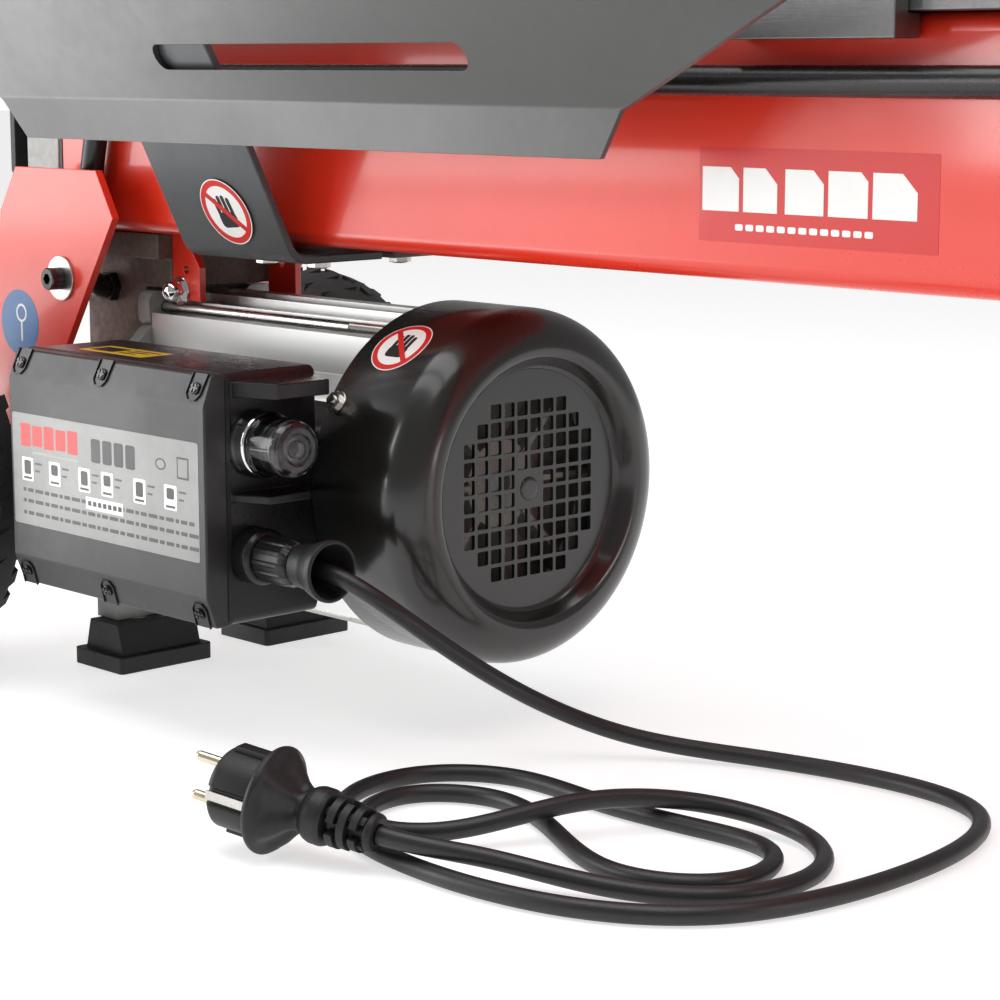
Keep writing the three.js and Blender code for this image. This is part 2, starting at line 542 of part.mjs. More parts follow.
function pusher() {
  const P = PUSHER;
  const z0 = GUIDE_TOP + GAP;
  const head = alongX(outline([[-64, z0], [64, z0], [64, 410], [46, P.top], [-46, P.top], [-64, 410]]), P.x0, P.x0 + 12);
  const back = box(P.x0 + 11, P.x1, -40, 40, z0, P.top - 20);
  add('pusher', join(head, back), 'red');
  const g = GUIDE.halfWidth;
  const gib = outline([
    [-g - GAP, 400], [-g - 10, 400], [-g - 10, 366], [-g + 8, 366], [-g + 8, GUIDE.z0 - 0.6], [-g - GAP, GUIDE.z0 - 0.6],
  ]);
  for (const [name, side] of SIDES) add(`pusher_gib_${name}`, toSide(alongX(gib, P.x0, P.x0 + 100), side), 'steel');
}

function valve() {
  const V = VALVE;
  const L = LEVER;
  const block = box(V.x0, V.x1, V.y0, V.y1, V.z0, V.z1);
  const ears = [-14, 9].map((dy) => box(L.x - 11, L.x + 11, L.y + dy, L.y + dy + 5, V.z1 - 1, L.z + 9));
  const bore = rodX(8.6, V.x0 + 12, V.x1 + 5, L.y, 342, 20);
  const pinWay = rodY(L.pin + 0.5, L.y - 20, L.y + 20, L.x, L.z, 16);
  add('valve_block', cut(join(block, ...ears), bore, pinWay), 'castIron');
  add('valve_spool', join(rodX(8, V.x0 + 22, V.x1 + 10, L.y, 342, 20), rodX(5, V.x1 + 9, V.x1 + 15, L.y, 342, 16)), 'steel');
  const bar = alongY(outline([
    [L.x - 9, L.z - 8], [L.x + 9, L.z - 8], [L.x + 7, L.z + 20], [L.x + 4, L.top - 30], [L.x - 4, L.top - 30],
    [L.x - 7, L.z + 20],
  ]), L.y - 4, L.y + 4);
  add('control_lever', join(bar, rodY(L.pin, L.y - 15, L.y + 15, L.x, L.z, 16)), 'black');
  const knob = new THREE.LatheGeometry(
    [[0, -29.7], [9, -29.7], [13, -22], [15, -10], [13, -2], [7, 2], [0, 2]].map(([r, z]) => new THREE.Vector2(r, z)), 20);
  add('lever_knob', knob.rotateX(Math.PI / 2).translate(L.x, L.y, L.top), 'black');
}

/** High-pressure pipe along the beam from the pump's outlet to the valve. */
function pressurePipe() {
  const P = PIPE;
  const points = [
    [-70, -38.4, 222], [-70, -47, 222], [-69, -60, 229], [-64, -66, 246], [-58, -64, 262], [-52, -64, 290],
    [-44, -64, 322], [-28, -64, 342], [0, -64, P.z], [40, -64, P.z], [P.x1 - 60, -64, P.z], [P.x1, -64, P.z],
  ];
  add('pressure_pipe', tube(through(points), P.radius, 22, 8), 'black');
}

// ---------------------------------------------------------------- legs and transport handle
function legs() {
  const L = LEG;
  const top = BEAM.z0 - GAP;
  add('leg_crossplate', join(
    box(L.x - 30, L.x + 30, -68, 68, top - 8, top),
    box(L.x - 22, L.x + 22, -44, 44, top - 40, top - 7)), 'red');
  const leg = alongX(outline([
    [-46, top - 10], [-72, top - 10], [-L.footY - 18, 10], [-L.footY - 24, 10], [-L.footY - 24, 0],
    [-L.footY + 24, 0], [-L.footY + 24, 10], [-L.footY + 8, 10], [-46, top - 34],
  ]), L.x - L.width / 2, L.x + L.width / 2);
  for (const [name, side] of SIDES) add(`leg_${name}`, toSide(leg.clone(), side), 'red');
}

function handle() {
  const y = BEAM.halfWidth + 11 + GAP;
  const top = 545;
  const points = [
    [885, -y, 300], [885, -y, 400], [885, -y, top - 40], [885, -y + 8, top - 14], [885, -y + 28, top - 2], [885, -y + 44, top],
    [885, y - 44, top], [885, y - 28, top - 2], [885, y - 8, top - 14], [885, y, top - 40], [885, y, 400], [885, y, 300],
  ];
  add('transport_handle', tube(through(points), 11, 26, 8), 'black');
}

// ---------------------------------------------------------------- mains cord and plug
const CORD_RADIUS = 4.5;
const FLOOR = 4.8;                     // height of the cord's centre line where it lies on the ground
// Control points of one cubic B-spline: out of the boot, down, round the yard of cord and into the plug's tail.
const CORD_ROUTE = [
  [225.5, -135, 105], [252, -135.5, 105.5], [276, -126, 93], [287, -88, 62], [300, -43, 31], [331, -5, 10.5],
  [373, 26, 5], [423, 42, FLOOR], [479, 49, FLOOR], [529, 37, FLOOR], [553, -12, FLOOR], [558, -67, FLOOR],
  [555, -120, FLOOR], [538, -171, FLOOR], [497, -204, FLOOR], [444, -217, FLOOR], [392, -217, FLOOR],
  [338, -206, FLOOR], [289, -168, FLOOR], [283, -110, FLOOR], [327, -76, FLOOR], [384, -87, FLOOR],
  [441, -83, FLOOR], [502, -74, FLOOR], [523, -134, FLOOR], [470, -168, FLOOR], [411, -136, FLOOR],
  [350, -105, FLOOR], [300, -141, FLOOR], [329, -199, FLOOR], [386, -182, 6.5], [405, -119, 19.5],
  [436, -65, 13.5], [491, -47, FLOOR], [536, -88, FLOOR], [531, -150, FLOOR], [478, -180, 5], [431, -200, 14],
  [401.5, -217.4, 15.3], [385, -222.8, 17.7],
];

function cord() {
  const spans = CORD_ROUTE.length - 3;
  const inner = Array.from({ length: spans - 1 }, (_, i) => i + 1);
  const knots = [0, 0, 0, 0, ...inner, spans, spans, spans, spans];
  const path = new NURBSCurve(3, knots, CORD_ROUTE.map(([x, y, z]) => new THREE.Vector4(x, y, z, 1)));
  add('power_cord', tube(path, CORD_RADIUS, 80, 8), 'rubber');
}

/** Earthed two-pin plug with a round flange and a ribbed tail, lying on its flange. */
function plug() {
  const body = (profile) => new THREE.LatheGeometry(profile.map(([r, s]) => new THREE.Vector2(r, s)), 18);
  const shell = body([
    [0, -56], [8.5, -56], [9.5, -52], [12, -34], [13.4, -31], [13.4, -23], [11, -19], [14, -11], [22, -4], [25.5, -1],
    [25.5, 2.5], [19, 3.5], [19, 24], [17.5, 26], [0, 26],
  ]);
  const pin = (offset) => new THREE.CylinderGeometry(2.4, 2.4, 20, 12).translate(0, 34, offset);
  const key = box(-4, 4, 3, 21, 17, 21);
  const whole = join(shell, pin(9.5), pin(-9.5), key);
  const axis = new THREE.Vector3(-52.5, -17, 8.2).normalize();
  const side = new THREE.Vector3().crossVectors(axis, new THREE.Vector3(0, 0, 1)).normalize();
  const up = new THREE.Vector3().crossVectors(side, axis);
  const frame = new THREE.Matrix4().makeBasis(side, axis, up).setPosition(332, -240, 26);
  add('plug', whole.applyMatrix4(frame), 'rubber');
}

// ---------------------------------------------------------------- build
beam();
tankEnds();
wedge();
trays();
wheels();
pump();
mountPlate();
driveEndShield();
housing();
motorInside();
rearEndShield();
coolingFan();
fanCover();
tieBolts();
for (const [name, side] of SIDES) add(`rubber_foot_${name}`, toSide(rubberFoot(), side), 'rubber');
terminalBox();
terminalLid();
boxFittings();
cylinder();
pusher();
valve();
pressurePipe();
legs();
handle();
cord();
plug();

export default machine;
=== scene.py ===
"""Finishes and fine detail for a horizontal electric log splitter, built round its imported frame.

Sizes are in millimetres in the machine's own frame, whose X starts at the near edge of the rubber
feet; `at` turns them into the frame's metres.
"""

from __future__ import annotations

import logging
import math
from dataclasses import dataclass, field
from enum import Enum
from typing import Callable, Sequence

import bmesh
import bpy
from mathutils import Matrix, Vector

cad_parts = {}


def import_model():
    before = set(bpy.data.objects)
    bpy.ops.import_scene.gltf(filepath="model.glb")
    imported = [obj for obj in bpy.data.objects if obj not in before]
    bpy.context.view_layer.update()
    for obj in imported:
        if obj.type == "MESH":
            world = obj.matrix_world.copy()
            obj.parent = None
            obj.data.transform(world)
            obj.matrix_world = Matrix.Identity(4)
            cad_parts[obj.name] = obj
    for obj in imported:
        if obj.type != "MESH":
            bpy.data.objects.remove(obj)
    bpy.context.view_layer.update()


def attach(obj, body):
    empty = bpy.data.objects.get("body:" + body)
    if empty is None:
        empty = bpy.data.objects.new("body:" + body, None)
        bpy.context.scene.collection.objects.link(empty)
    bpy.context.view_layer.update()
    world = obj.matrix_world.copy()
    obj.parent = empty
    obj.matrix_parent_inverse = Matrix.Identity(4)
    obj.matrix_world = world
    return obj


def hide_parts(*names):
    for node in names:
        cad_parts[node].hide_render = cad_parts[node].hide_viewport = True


log = logging.getLogger("log_splitter")

MM = 0.001
CENTRE_X = 353.0
SIDES = (("near", -1), ("far", 1))
Pair = tuple[float, float]
Place = Callable[[float, float, float], Vector]


def at(x: float, y: float, z: float) -> Vector:
    """Return a point given in machine millimetres in the frame's metres."""
    return Vector(((x - CENTRE_X) * MM, y * MM, z * MM))


# ---------------------------------------------------------------- finishes
class Relief(Enum):
    """Fine surface texture of a finish."""

    PEEL = "orange_peel"
    POWDER = "powder_coat"
    CAST = "sand_casting"
    BRUSHED = "drawn_lines"
    MOULDED = "moulded_grain"
    PLAIN = "faint_unevenness"


class Wires:
    """Adds and joins the nodes of one shader tree."""

    def __init__(self, tree: bpy.types.NodeTree) -> None:
        """Start on a node tree."""
        self.tree = tree

    def add(self, kind: str, inputs: dict[str | int, object] | None = None,
            **props: object) -> bpy.types.Node:
        """Add a node, set its properties, and set or link its inputs.

        Args:
            kind: The node's type name.
            inputs: Values or output sockets by input name or index.
            **props: Attributes of the node.

        Returns:
            The new node.
        """
        node = self.tree.nodes.new(kind)
        for key, value in props.items():
            setattr(node, key, value)
        for key, value in (inputs or {}).items():
            if isinstance(value, bpy.types.NodeSocket):
                self.tree.links.new(value, node.inputs[key])
            else:
                node.inputs[key].default_value = value
        return node

    def math(self, operation: str, a: object, b: object = 0.0) -> bpy.types.NodeSocket:
        """Return the result of a math node on two values or sockets."""
        return self.add("ShaderNodeMath", {0: a, 1: b}, operation=operation).outputs[0]


def new_group(name: str, inputs: Sequence[tuple[str, str, object]],
              outputs: Sequence[tuple[str, str]]) -> tuple:
    """Create a shader node group with named sockets.

    Args:
        name: The group's name.
        inputs: (socket name, socket type, default) for each input.
        outputs: (socket name, socket type) for each output.

    Returns:
        The tree, its wires, the group input node and the group output node.
    """
    tree = bpy.data.node_groups.new(name, "ShaderNodeTree")
    for label, kind, default in inputs:
        socket = tree.interface.new_socket(name=label, in_out="INPUT", socket_type=kind)
        socket.default_value = default
    for label, kind in outputs:
        tree.interface.new_socket(name=label, in_out="OUTPUT", socket_type=kind)
    wires = Wires(tree)
    return tree, wires, wires.add("NodeGroupInput"), wires.add("NodeGroupOutput")


def once(build: Callable[..., bpy.types.NodeTree]) -> Callable[..., bpy.types.NodeTree]:
    """Make a group builder return the same group each time it is asked with the same words."""
    made: dict[tuple, bpy.types.NodeTree] = {}

    def wrapped(*words: object) -> bpy.types.NodeTree:
        """Build on the first call, and reuse after it."""
        if words not in made:
            made[words] = build(*words)
        return made[words]

    return wrapped


@once
def uneven_group() -> bpy.types.NodeTree:
    """Return the group that spreads a colour and a roughness unevenly over a surface."""
    tree, w, given, out = new_group(
        "uneven_colour",
        [("Scale", "NodeSocketFloat", 12.0), ("Main", "NodeSocketColor", (1, 1, 1, 1)),
         ("Shade", "NodeSocketColor", (0, 0, 0, 1)), ("Low", "NodeSocketFloat", 0.3),
         ("High", "NodeSocketFloat", 0.5)],
        [("Color", "NodeSocketColor"), ("Roughness", "NodeSocketFloat"), ("Mask", "NodeSocketFloat")],
    )
    where = w.add("ShaderNodeTexCoord").outputs["Object"]
    broad = w.add("ShaderNodeTexNoise", {"Vector": where, "Scale": given.outputs["Scale"], "Detail": 5.0})
    fine_scale = w.math("MULTIPLY", given.outputs["Scale"], 9.0)
    fine = w.add("ShaderNodeTexNoise", {"Vector": where, "Scale": fine_scale, "Detail": 4.0,
                                        "Roughness": 0.65})
    both = w.math("ADD", w.math("MULTIPLY", broad.outputs[0], 0.62),
                  w.math("MULTIPLY", fine.outputs[0], 0.38))
    mask = w.add("ShaderNodeMapRange", {"Value": both, "From Min": 0.36, "From Max": 0.64}).outputs["Result"]
    tint = w.add("ShaderNodeMix", {0: mask, 6: given.outputs["Main"], 7: given.outputs["Shade"]},
                 data_type="RGBA")
    rough = w.add("ShaderNodeMapRange", {"Value": mask, "To Min": given.outputs["Low"],
                                         "To Max": given.outputs["High"]})
    w.tree.links.new(tint.outputs[2], out.inputs["Color"])
    w.tree.links.new(rough.outputs["Result"], out.inputs["Roughness"])
    w.tree.links.new(mask, out.inputs["Mask"])
    return tree


@once
def relief_group(kind: Relief) -> bpy.types.NodeTree:
    """Return the group that gives the height of one kind of surface texture."""
    tree, w, given, out = new_group(
        kind.value, [("Scale", "NodeSocketFloat", 1.0)], [("Height", "NodeSocketFloat")])
    where = w.add("ShaderNodeTexCoord").outputs["Object"]

    def noise(scale: float, detail: float, vector: object = where) -> bpy.types.NodeSocket:
        """Return a noise whose scale follows the group's own."""
        size = w.math("MULTIPLY", given.outputs["Scale"], scale)
        return w.add("ShaderNodeTexNoise", {"Vector": vector, "Scale": size, "Detail": detail}).outputs[0]

    if kind is Relief.PEEL:
        height = w.math("ADD", noise(70.0, 1.0), w.math("MULTIPLY", noise(420.0, 1.0), 0.12))
    elif kind is Relief.POWDER:
        height = w.math("ADD", noise(1300.0, 2.0), w.math("MULTIPLY", noise(320.0, 1.0), 0.35))
    elif kind is Relief.CAST:
        size = w.math("MULTIPLY", given.outputs["Scale"], 640.0)
        pits = w.add("ShaderNodeTexVoronoi", {"Vector": where, "Scale": size}).outputs["Distance"]
        height = w.math("ADD", noise(260.0, 6.0), w.math("MULTIPLY", pits, 0.35))
    elif kind is Relief.BRUSHED:
        along = w.add("ShaderNodeMapping", {"Vector": where, "Scale": (1.0, 26.0, 26.0)}).outputs[0]
        height = w.math("ADD", noise(60.0, 5.0, along), w.math("MULTIPLY", noise(900.0, 2.0), 0.2))
    elif kind is Relief.MOULDED:
        height = w.math("ADD", noise(1700.0, 2.0), w.math("MULTIPLY", noise(90.0, 1.0), 0.25))
    else:
        height = noise(45.0, 2.0)
    w.tree.links.new(height, out.inputs["Height"])
    return tree


@dataclass(frozen=True)
class Finish:
    """One finish of the machine, with the values of its shader."""

    name: str
    colour: tuple[float, float, float]
    shade: tuple[float, float, float]
    roughness: Pair
    slot: str
    relief: Relief = Relief.PLAIN
    relief_scale: float = 1.0
    relief_depth: float = 0.05
    patch_scale: float = 14.0
    metallic: float = 0.0
    coat: float = 0.0
    coat_roughness: float = 0.04
    specular: float = 0.5

    def material(self) -> bpy.types.Material:
        """Return this finish's material, made on first use."""
        found = bpy.data.materials.get(self.name)
        if found:
            return found
        mat = bpy.data.materials.new(self.name)
        mat.use_nodes = True
        w = Wires(mat.node_tree)
        mat.node_tree.nodes.clear()
        spread = w.add("ShaderNodeGroup", node_tree=uneven_group())
        values = {"Scale": self.patch_scale, "Main": (*self.colour, 1.0), "Shade": (*self.shade, 1.0),
                  "Low": self.roughness[0], "High": self.roughness[1]}
        for key, value in values.items():
            spread.inputs[key].default_value = value
        relief = w.add("ShaderNodeGroup", node_tree=relief_group(self.relief))
        relief.inputs["Scale"].default_value = self.relief_scale
        bump = w.add("ShaderNodeBump", {"Height": relief.outputs["Height"], "Strength": 1.0,
                                        "Distance": self.relief_depth * MM})
        shader = w.add("ShaderNodeBsdfPrincipled", {
            "Base Color": spread.outputs["Color"], "Roughness": spread.outputs["Roughness"],
            "Normal": bump.outputs["Normal"], "Metallic": self.metallic, "Coat Weight": self.coat,
            "Coat Roughness": self.coat_roughness, "Specular IOR Level": self.specular,
        })
        out = w.add("ShaderNodeOutputMaterial")
        w.tree.links.new(shader.outputs[0], out.inputs["Surface"])
        return mat


RED = Finish("red_enamel", (0.74, 0.028, 0.007), (0.68, 0.024, 0.006), (0.26, 0.38), "red_paint",
             Relief.PEEL, 0.6, 0.07, 6.0, coat=0.5, coat_roughness=0.10)
TRAY_BLACK = Finish("tray_powder_coat", (0.050, 0.050, 0.049), (0.042, 0.042, 0.041), (0.28, 0.36),
                    "black_powder_coat", Relief.POWDER, 1.0, 0.05, metallic=0.15, specular=0.7)
BLACK_STEEL = Finish("black_powder_coat", (0.020, 0.020, 0.020), (0.014, 0.014, 0.014), (0.32, 0.46),
                     "black_powder_coat", Relief.POWDER, 1.0, 0.05)
STRAP_GREY = Finish("anthracite_powder_coat", (0.055, 0.058, 0.062), (0.045, 0.048, 0.052), (0.38, 0.50),
                    "grey_powder_coat", Relief.POWDER, 1.0, 0.06)
COVER_BLACK = Finish("gloss_black_enamel", (0.012, 0.011, 0.010), (0.008, 0.008, 0.007), (0.22, 0.30),
                     "black_enamel", Relief.PEEL, 0.7, 0.10, 5.0, coat=0.30, coat_roughness=0.12)
PUMP_IRON = Finish("dark_casting", (0.20, 0.165, 0.138), (0.105, 0.086, 0.073), (0.50, 0.72), "cast_iron",
                   Relief.CAST, 1.0, 0.35, 30.0, metallic=0.35)
VALVE_IRON = Finish("black_casting", (0.030, 0.030, 0.030), (0.020, 0.020, 0.020), (0.45, 0.65), "cast_iron",
                    Relief.CAST, 1.0, 0.30, 30.0, metallic=0.2)
CAST_ALU = Finish("sand_cast_aluminium", (0.36, 0.36, 0.35), (0.28, 0.28, 0.27), (0.46, 0.60),
                  "cast_aluminium", Relief.CAST, 1.0, 0.28, 22.0, metallic=0.45)
MOTOR_ALU = Finish("extruded_aluminium", (0.80, 0.805, 0.805), (0.72, 0.725, 0.725), (0.46, 0.58),
                   "extruded_aluminium", Relief.BRUSHED, 1.0, 0.03, 12.0, metallic=0.10)
ZINC = Finish("zinc_plate", (0.66, 0.65, 0.61), (0.52, 0.51, 0.48), (0.22, 0.36), "zinc",
              Relief.PLAIN, 4.0, 0.02, 60.0, metallic=1.0)
NICKEL = Finish("nickel_pin", (0.72, 0.64, 0.52), (0.62, 0.54, 0.42), (0.20, 0.30), "zinc",
                Relief.BRUSHED, 2.0, 0.02, 60.0, metallic=1.0)
STEEL = Finish("oiled_steel", (0.30, 0.30, 0.30), (0.20, 0.20, 0.20), (0.30, 0.48), "bare_steel",
               Relief.BRUSHED, 1.0, 0.05, 20.0, metallic=1.0)
CHROME = Finish("hard_chrome", (0.80, 0.80, 0.82), (0.76, 0.76, 0.78), (0.05, 0.10), "hard_chrome",
                Relief.PLAIN, 1.0, 0.01, 20.0, metallic=1.0)
BOX_PLASTIC = Finish("moulded_black_plastic", (0.009, 0.009, 0.010), (0.007, 0.007, 0.008), (0.24, 0.36),
                     "black_plastic", Relief.MOULDED, 1.0, 0.05, 20.0, specular=0.35)
FAN_PLASTIC = Finish("fan_plastic", (0.34, 0.33, 0.29), (0.27, 0.26, 0.23), (0.40, 0.52), "black_plastic",
                     Relief.MOULDED, 1.0, 0.04, 20.0)
LID_PLASTIC = Finish("moulded_grey_plastic", (0.017, 0.017, 0.018), (0.014, 0.014, 0.015), (0.36, 0.46),
                     "grey_plastic", Relief.MOULDED, 1.0, 0.05, 20.0)
RUBBER = Finish("black_rubber", (0.010, 0.010, 0.011), (0.008, 0.008, 0.009), (0.40, 0.54), "soft_rubber",
                Relief.MOULDED, 0.8, 0.08, 30.0, specular=0.4)
CORD_RUBBER = Finish("cord_sheath", (0.012, 0.012, 0.013), (0.009, 0.009, 0.010), (0.36, 0.48), "soft_rubber",
                     Relief.MOULDED, 0.6, 0.07, 40.0)
TYRE = Finish("tyre_rubber", (0.020, 0.020, 0.020), (0.014, 0.014, 0.014), (0.60, 0.78), "tyre_rubber",
              Relief.CAST, 0.8, 0.20, 30.0)
WINDING = Finish("winding", (0.42, 0.20, 0.10), (0.30, 0.14, 0.07), (0.35, 0.5), "winding",
                 Relief.BRUSHED, 1.0, 0.2, 30.0, metallic=0.7)
WHITE_INK = Finish("white_print", (0.86, 0.85, 0.83), (0.82, 0.81, 0.79), (0.28, 0.36), "red_paint",
                   Relief.PLAIN, 1.0, 0.01)
RED_INK = Finish("red_print", (0.62, 0.016, 0.012), (0.58, 0.014, 0.010), (0.28, 0.36), "red_paint",
                 Relief.PLAIN, 1.0, 0.01)
BLACK_INK = Finish("black_print", (0.012, 0.012, 0.012), (0.010, 0.010, 0.010), (0.30, 0.38), "black_plastic",
                   Relief.PLAIN, 1.0, 0.01)
BLUE_INK = Finish("blue_print", (0.010, 0.13, 0.36), (0.008, 0.11, 0.32), (0.26, 0.34), "red_paint",
                  Relief.PLAIN, 1.0, 0.01)
YELLOW_INK = Finish("yellow_print", (0.78, 0.50, 0.02), (0.72, 0.46, 0.02), (0.28, 0.36), "black_plastic",
                    Relief.PLAIN, 1.0, 0.01)
LABEL_GREY = Finish("rating_foil", (0.25, 0.25, 0.245), (0.22, 0.22, 0.215), (0.32, 0.42), "grey_plastic",
                    Relief.BRUSHED, 0.6, 0.01, 20.0, metallic=0.25)
LABEL_DARK = Finish("rating_print", (0.060, 0.060, 0.060), (0.050, 0.050, 0.050), (0.36, 0.44),
                    "black_plastic",
                    Relief.PLAIN, 1.0, 0.01)
DARK_ZINC = Finish("black_oxide_steel", (0.085, 0.085, 0.085), (0.045, 0.045, 0.045), (0.22, 0.36), "zinc",
                   Relief.PLAIN, 4.0, 0.02, 60.0, metallic=1.0)
LABEL_PALE = Finish("rating_panel", (0.40, 0.40, 0.39), (0.36, 0.36, 0.35), (0.34, 0.42), "grey_plastic",
                    Relief.PLAIN, 1.0, 0.01)
RED_PRINT = Finish("red_film", (0.60, 0.010, 0.006), (0.57, 0.009, 0.005), (0.30, 0.36), "red_paint",
                   Relief.PLAIN, 1.0, 0.02, coat=0.15)
BUTTON_BLACK = Finish("button_plastic", (0.035, 0.035, 0.036), (0.028, 0.028, 0.029), (0.16, 0.26),
                      "black_plastic",
                      Relief.PLAIN, 1.0, 0.02)
KNOB_RED = Finish("knob_plastic", (0.50, 0.012, 0.010), (0.45, 0.010, 0.008), (0.20, 0.30), "black_plastic",
                  Relief.PLAIN, 1.0, 0.02)
PIPE_BLACK = Finish("pipe_coating", (0.008, 0.008, 0.008), (0.006, 0.006, 0.006), (0.22, 0.34),
                    "black_powder_coat",
                    Relief.POWDER, 0.6, 0.04)


def clear_cap_material() -> bpy.types.Material:
    """Return the clear plastic of the button's splash cap."""
    mat = bpy.data.materials.new("clear_cap_plastic")
    mat.use_nodes = True
    w = Wires(mat.node_tree)
    mat.node_tree.nodes.clear()
    relief = w.add("ShaderNodeGroup", node_tree=relief_group(Relief.PLAIN))
    bump = w.add("ShaderNodeBump", {"Height": relief.outputs["Height"], "Distance": 0.02 * MM})
    shader = w.add("ShaderNodeBsdfPrincipled", {
        "Base Color": (0.62, 0.63, 0.64, 1.0), "Roughness": 0.09, "Transmission Weight": 1.0, "IOR": 1.45,
        "Normal": bump.outputs["Normal"]})
    out = w.add("ShaderNodeOutputMaterial")
    w.tree.links.new(shader.outputs[0], out.inputs["Surface"])
    return mat


# ---------------------------------------------------------------- mesh helpers
def mesh_piece(name: str, bm: bmesh.types.BMesh, finishes: Finish | Sequence[Finish], body: str = "machine",
               bevel: float = 0.0, segments: int = 2, smooth: float = 35.0,
               stands_for: Sequence[str] = ()) -> bpy.types.Object:
    """Turn a bmesh in metres into a finished piece that rides on a body.

    Args:
        name: The piece's name.
        bm: The mesh, freed here.
        finishes: One finish, or one for each material index.
        body: The body that it moves with.
        bevel: Edge rounding in millimetres, or 0 for none.
        segments: Steps in the rounding.
        smooth: Largest angle, in degrees, that is shaded smooth.
        stands_for: CAD nodes that the piece replaces.

    Returns:
        The new object.
    """
    bmesh.ops.recalc_face_normals(bm, faces=bm.faces)
    limit = math.radians(smooth)
    for face in bm.faces:
        face.smooth = True
    for edge in bm.edges:
        edge.smooth = len(edge.link_faces) == 2 and edge.calc_face_angle(0.0) < limit
    mesh = bpy.data.meshes.new(name)
    bm.to_mesh(mesh)
    bm.free()
    kinds = [finishes] if isinstance(finishes, Finish) else list(finishes)
    for finish in kinds:
        mesh.materials.append(finish.material())
    piece = bpy.data.objects.new(name, mesh)
    bpy.context.scene.collection.objects.link(piece)
    if bevel:
        rounding = piece.modifiers.new("rounding", "BEVEL")
        rounding.width = bevel * MM
        rounding.segments = segments
        rounding.limit_method = "ANGLE"
        rounding.angle_limit = limit
        rounding.harden_normals = True
    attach(piece, body)
    if stands_for:
        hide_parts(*stands_for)
    return piece


def node_copy(node: str, finish: Finish, body: str = "machine", bevel: float = 0.0, segments: int = 2,
              smooth: float = 35.0) -> bpy.types.Object:
    """Return a finished copy of a CAD node with its edges rounded, shown in its place."""
    source = bpy.data.objects[node]
    bm = bmesh.new()
    bm.from_mesh(source.data)
    bmesh.ops.remove_doubles(bm, verts=bm.verts, dist=1e-5)
    bmesh.ops.dissolve_limit(bm, angle_limit=math.radians(0.6), verts=bm.verts, edges=bm.edges)
    for face in bm.faces:
        face.material_index = 0
    return mesh_piece(f"{node}_skin", bm, finish, body, bevel, segments, smooth, stands_for=[node])


def dress(node: str, finish: Finish) -> None:
    """Give a CAD node that keeps its own shape its finish."""
    mesh = bpy.data.objects[node].data
    mesh.materials.clear()
    mesh.materials.append(finish.material())


def arc(cu: float, cv: float, r: float, start: float, stop: float, steps: int) -> list[Pair]:
    """Return points on an arc, with angles in degrees."""
    turn = [math.radians(start + (stop - start) * i / steps) for i in range(steps + 1)]
    return [(cu + r * math.cos(t), cv + r * math.sin(t)) for t in turn]


def rounded_rect(u0: float, u1: float, v0: float, v1: float, r: float, steps: int = 6) -> list[Pair]:
    """Return the outline of a rectangle with round corners."""
    return [*arc(u1 - r, v0 + r, r, -90, 0, steps), *arc(u1 - r, v1 - r, r, 0, 90, steps),
            *arc(u0 + r, v1 - r, r, 90, 180, steps), *arc(u0 + r, v0 + r, r, 180, 270, steps)]


def circle(cu: float, cv: float, r: float, steps: int = 32) -> list[Pair]:
    """Return the outline of a circle."""
    return arc(cu, cv, r, 0, 360, steps)[:-1]


def spun(point: Pair, turn: float) -> Pair:
    """Return a point turned about the origin by an angle in radians."""
    u, v = point
    return u * math.cos(turn) - v * math.sin(turn), u * math.sin(turn) + v * math.cos(turn)


def along_x(u: float, v: float, w: float) -> Vector:
    """Place an outline in (y, z) with depth along X."""
    return at(w, u, v)


def along_y(u: float, v: float, w: float) -> Vector:
    """Place an outline in (x, z) with depth along Y."""
    return at(u, w, v)


def prism(bm: bmesh.types.BMesh, outline: Sequence[Pair], w0: float, w1: float, place: Place,
          index: int = 0) -> None:
    """Add a closed prism of an outline between two depths."""
    low = [bm.verts.new(place(u, v, w0)) for u, v in outline]
    high = [bm.verts.new(place(u, v, w1)) for u, v in outline]
    faces = [bm.faces.new(list(reversed(low))), bm.faces.new(high)]
    for i, a in enumerate(low):
        j = (i + 1) % len(low)
        faces.append(bm.faces.new((a, low[j], high[j], high[i])))
    for face in faces:
        face.material_index = index


def tube_prism(bm: bmesh.types.BMesh, outer: Sequence[Pair], inner: Sequence[Pair], w0: float, w1: float,
               place: Place) -> None:
    """Add a hollow prism between two outlines with the same number of points."""
    rings = [[bm.verts.new(place(u, v, w)) for u, v in line] for line in (outer, inner) for w in (w0, w1)]
    n = len(outer)
    for a, b in ((0, 1), (2, 3), (0, 2), (1, 3)):
        for i in range(n):
            j = (i + 1) % n
            bm.faces.new((rings[a][i], rings[a][j], rings[b][j], rings[b][i]))


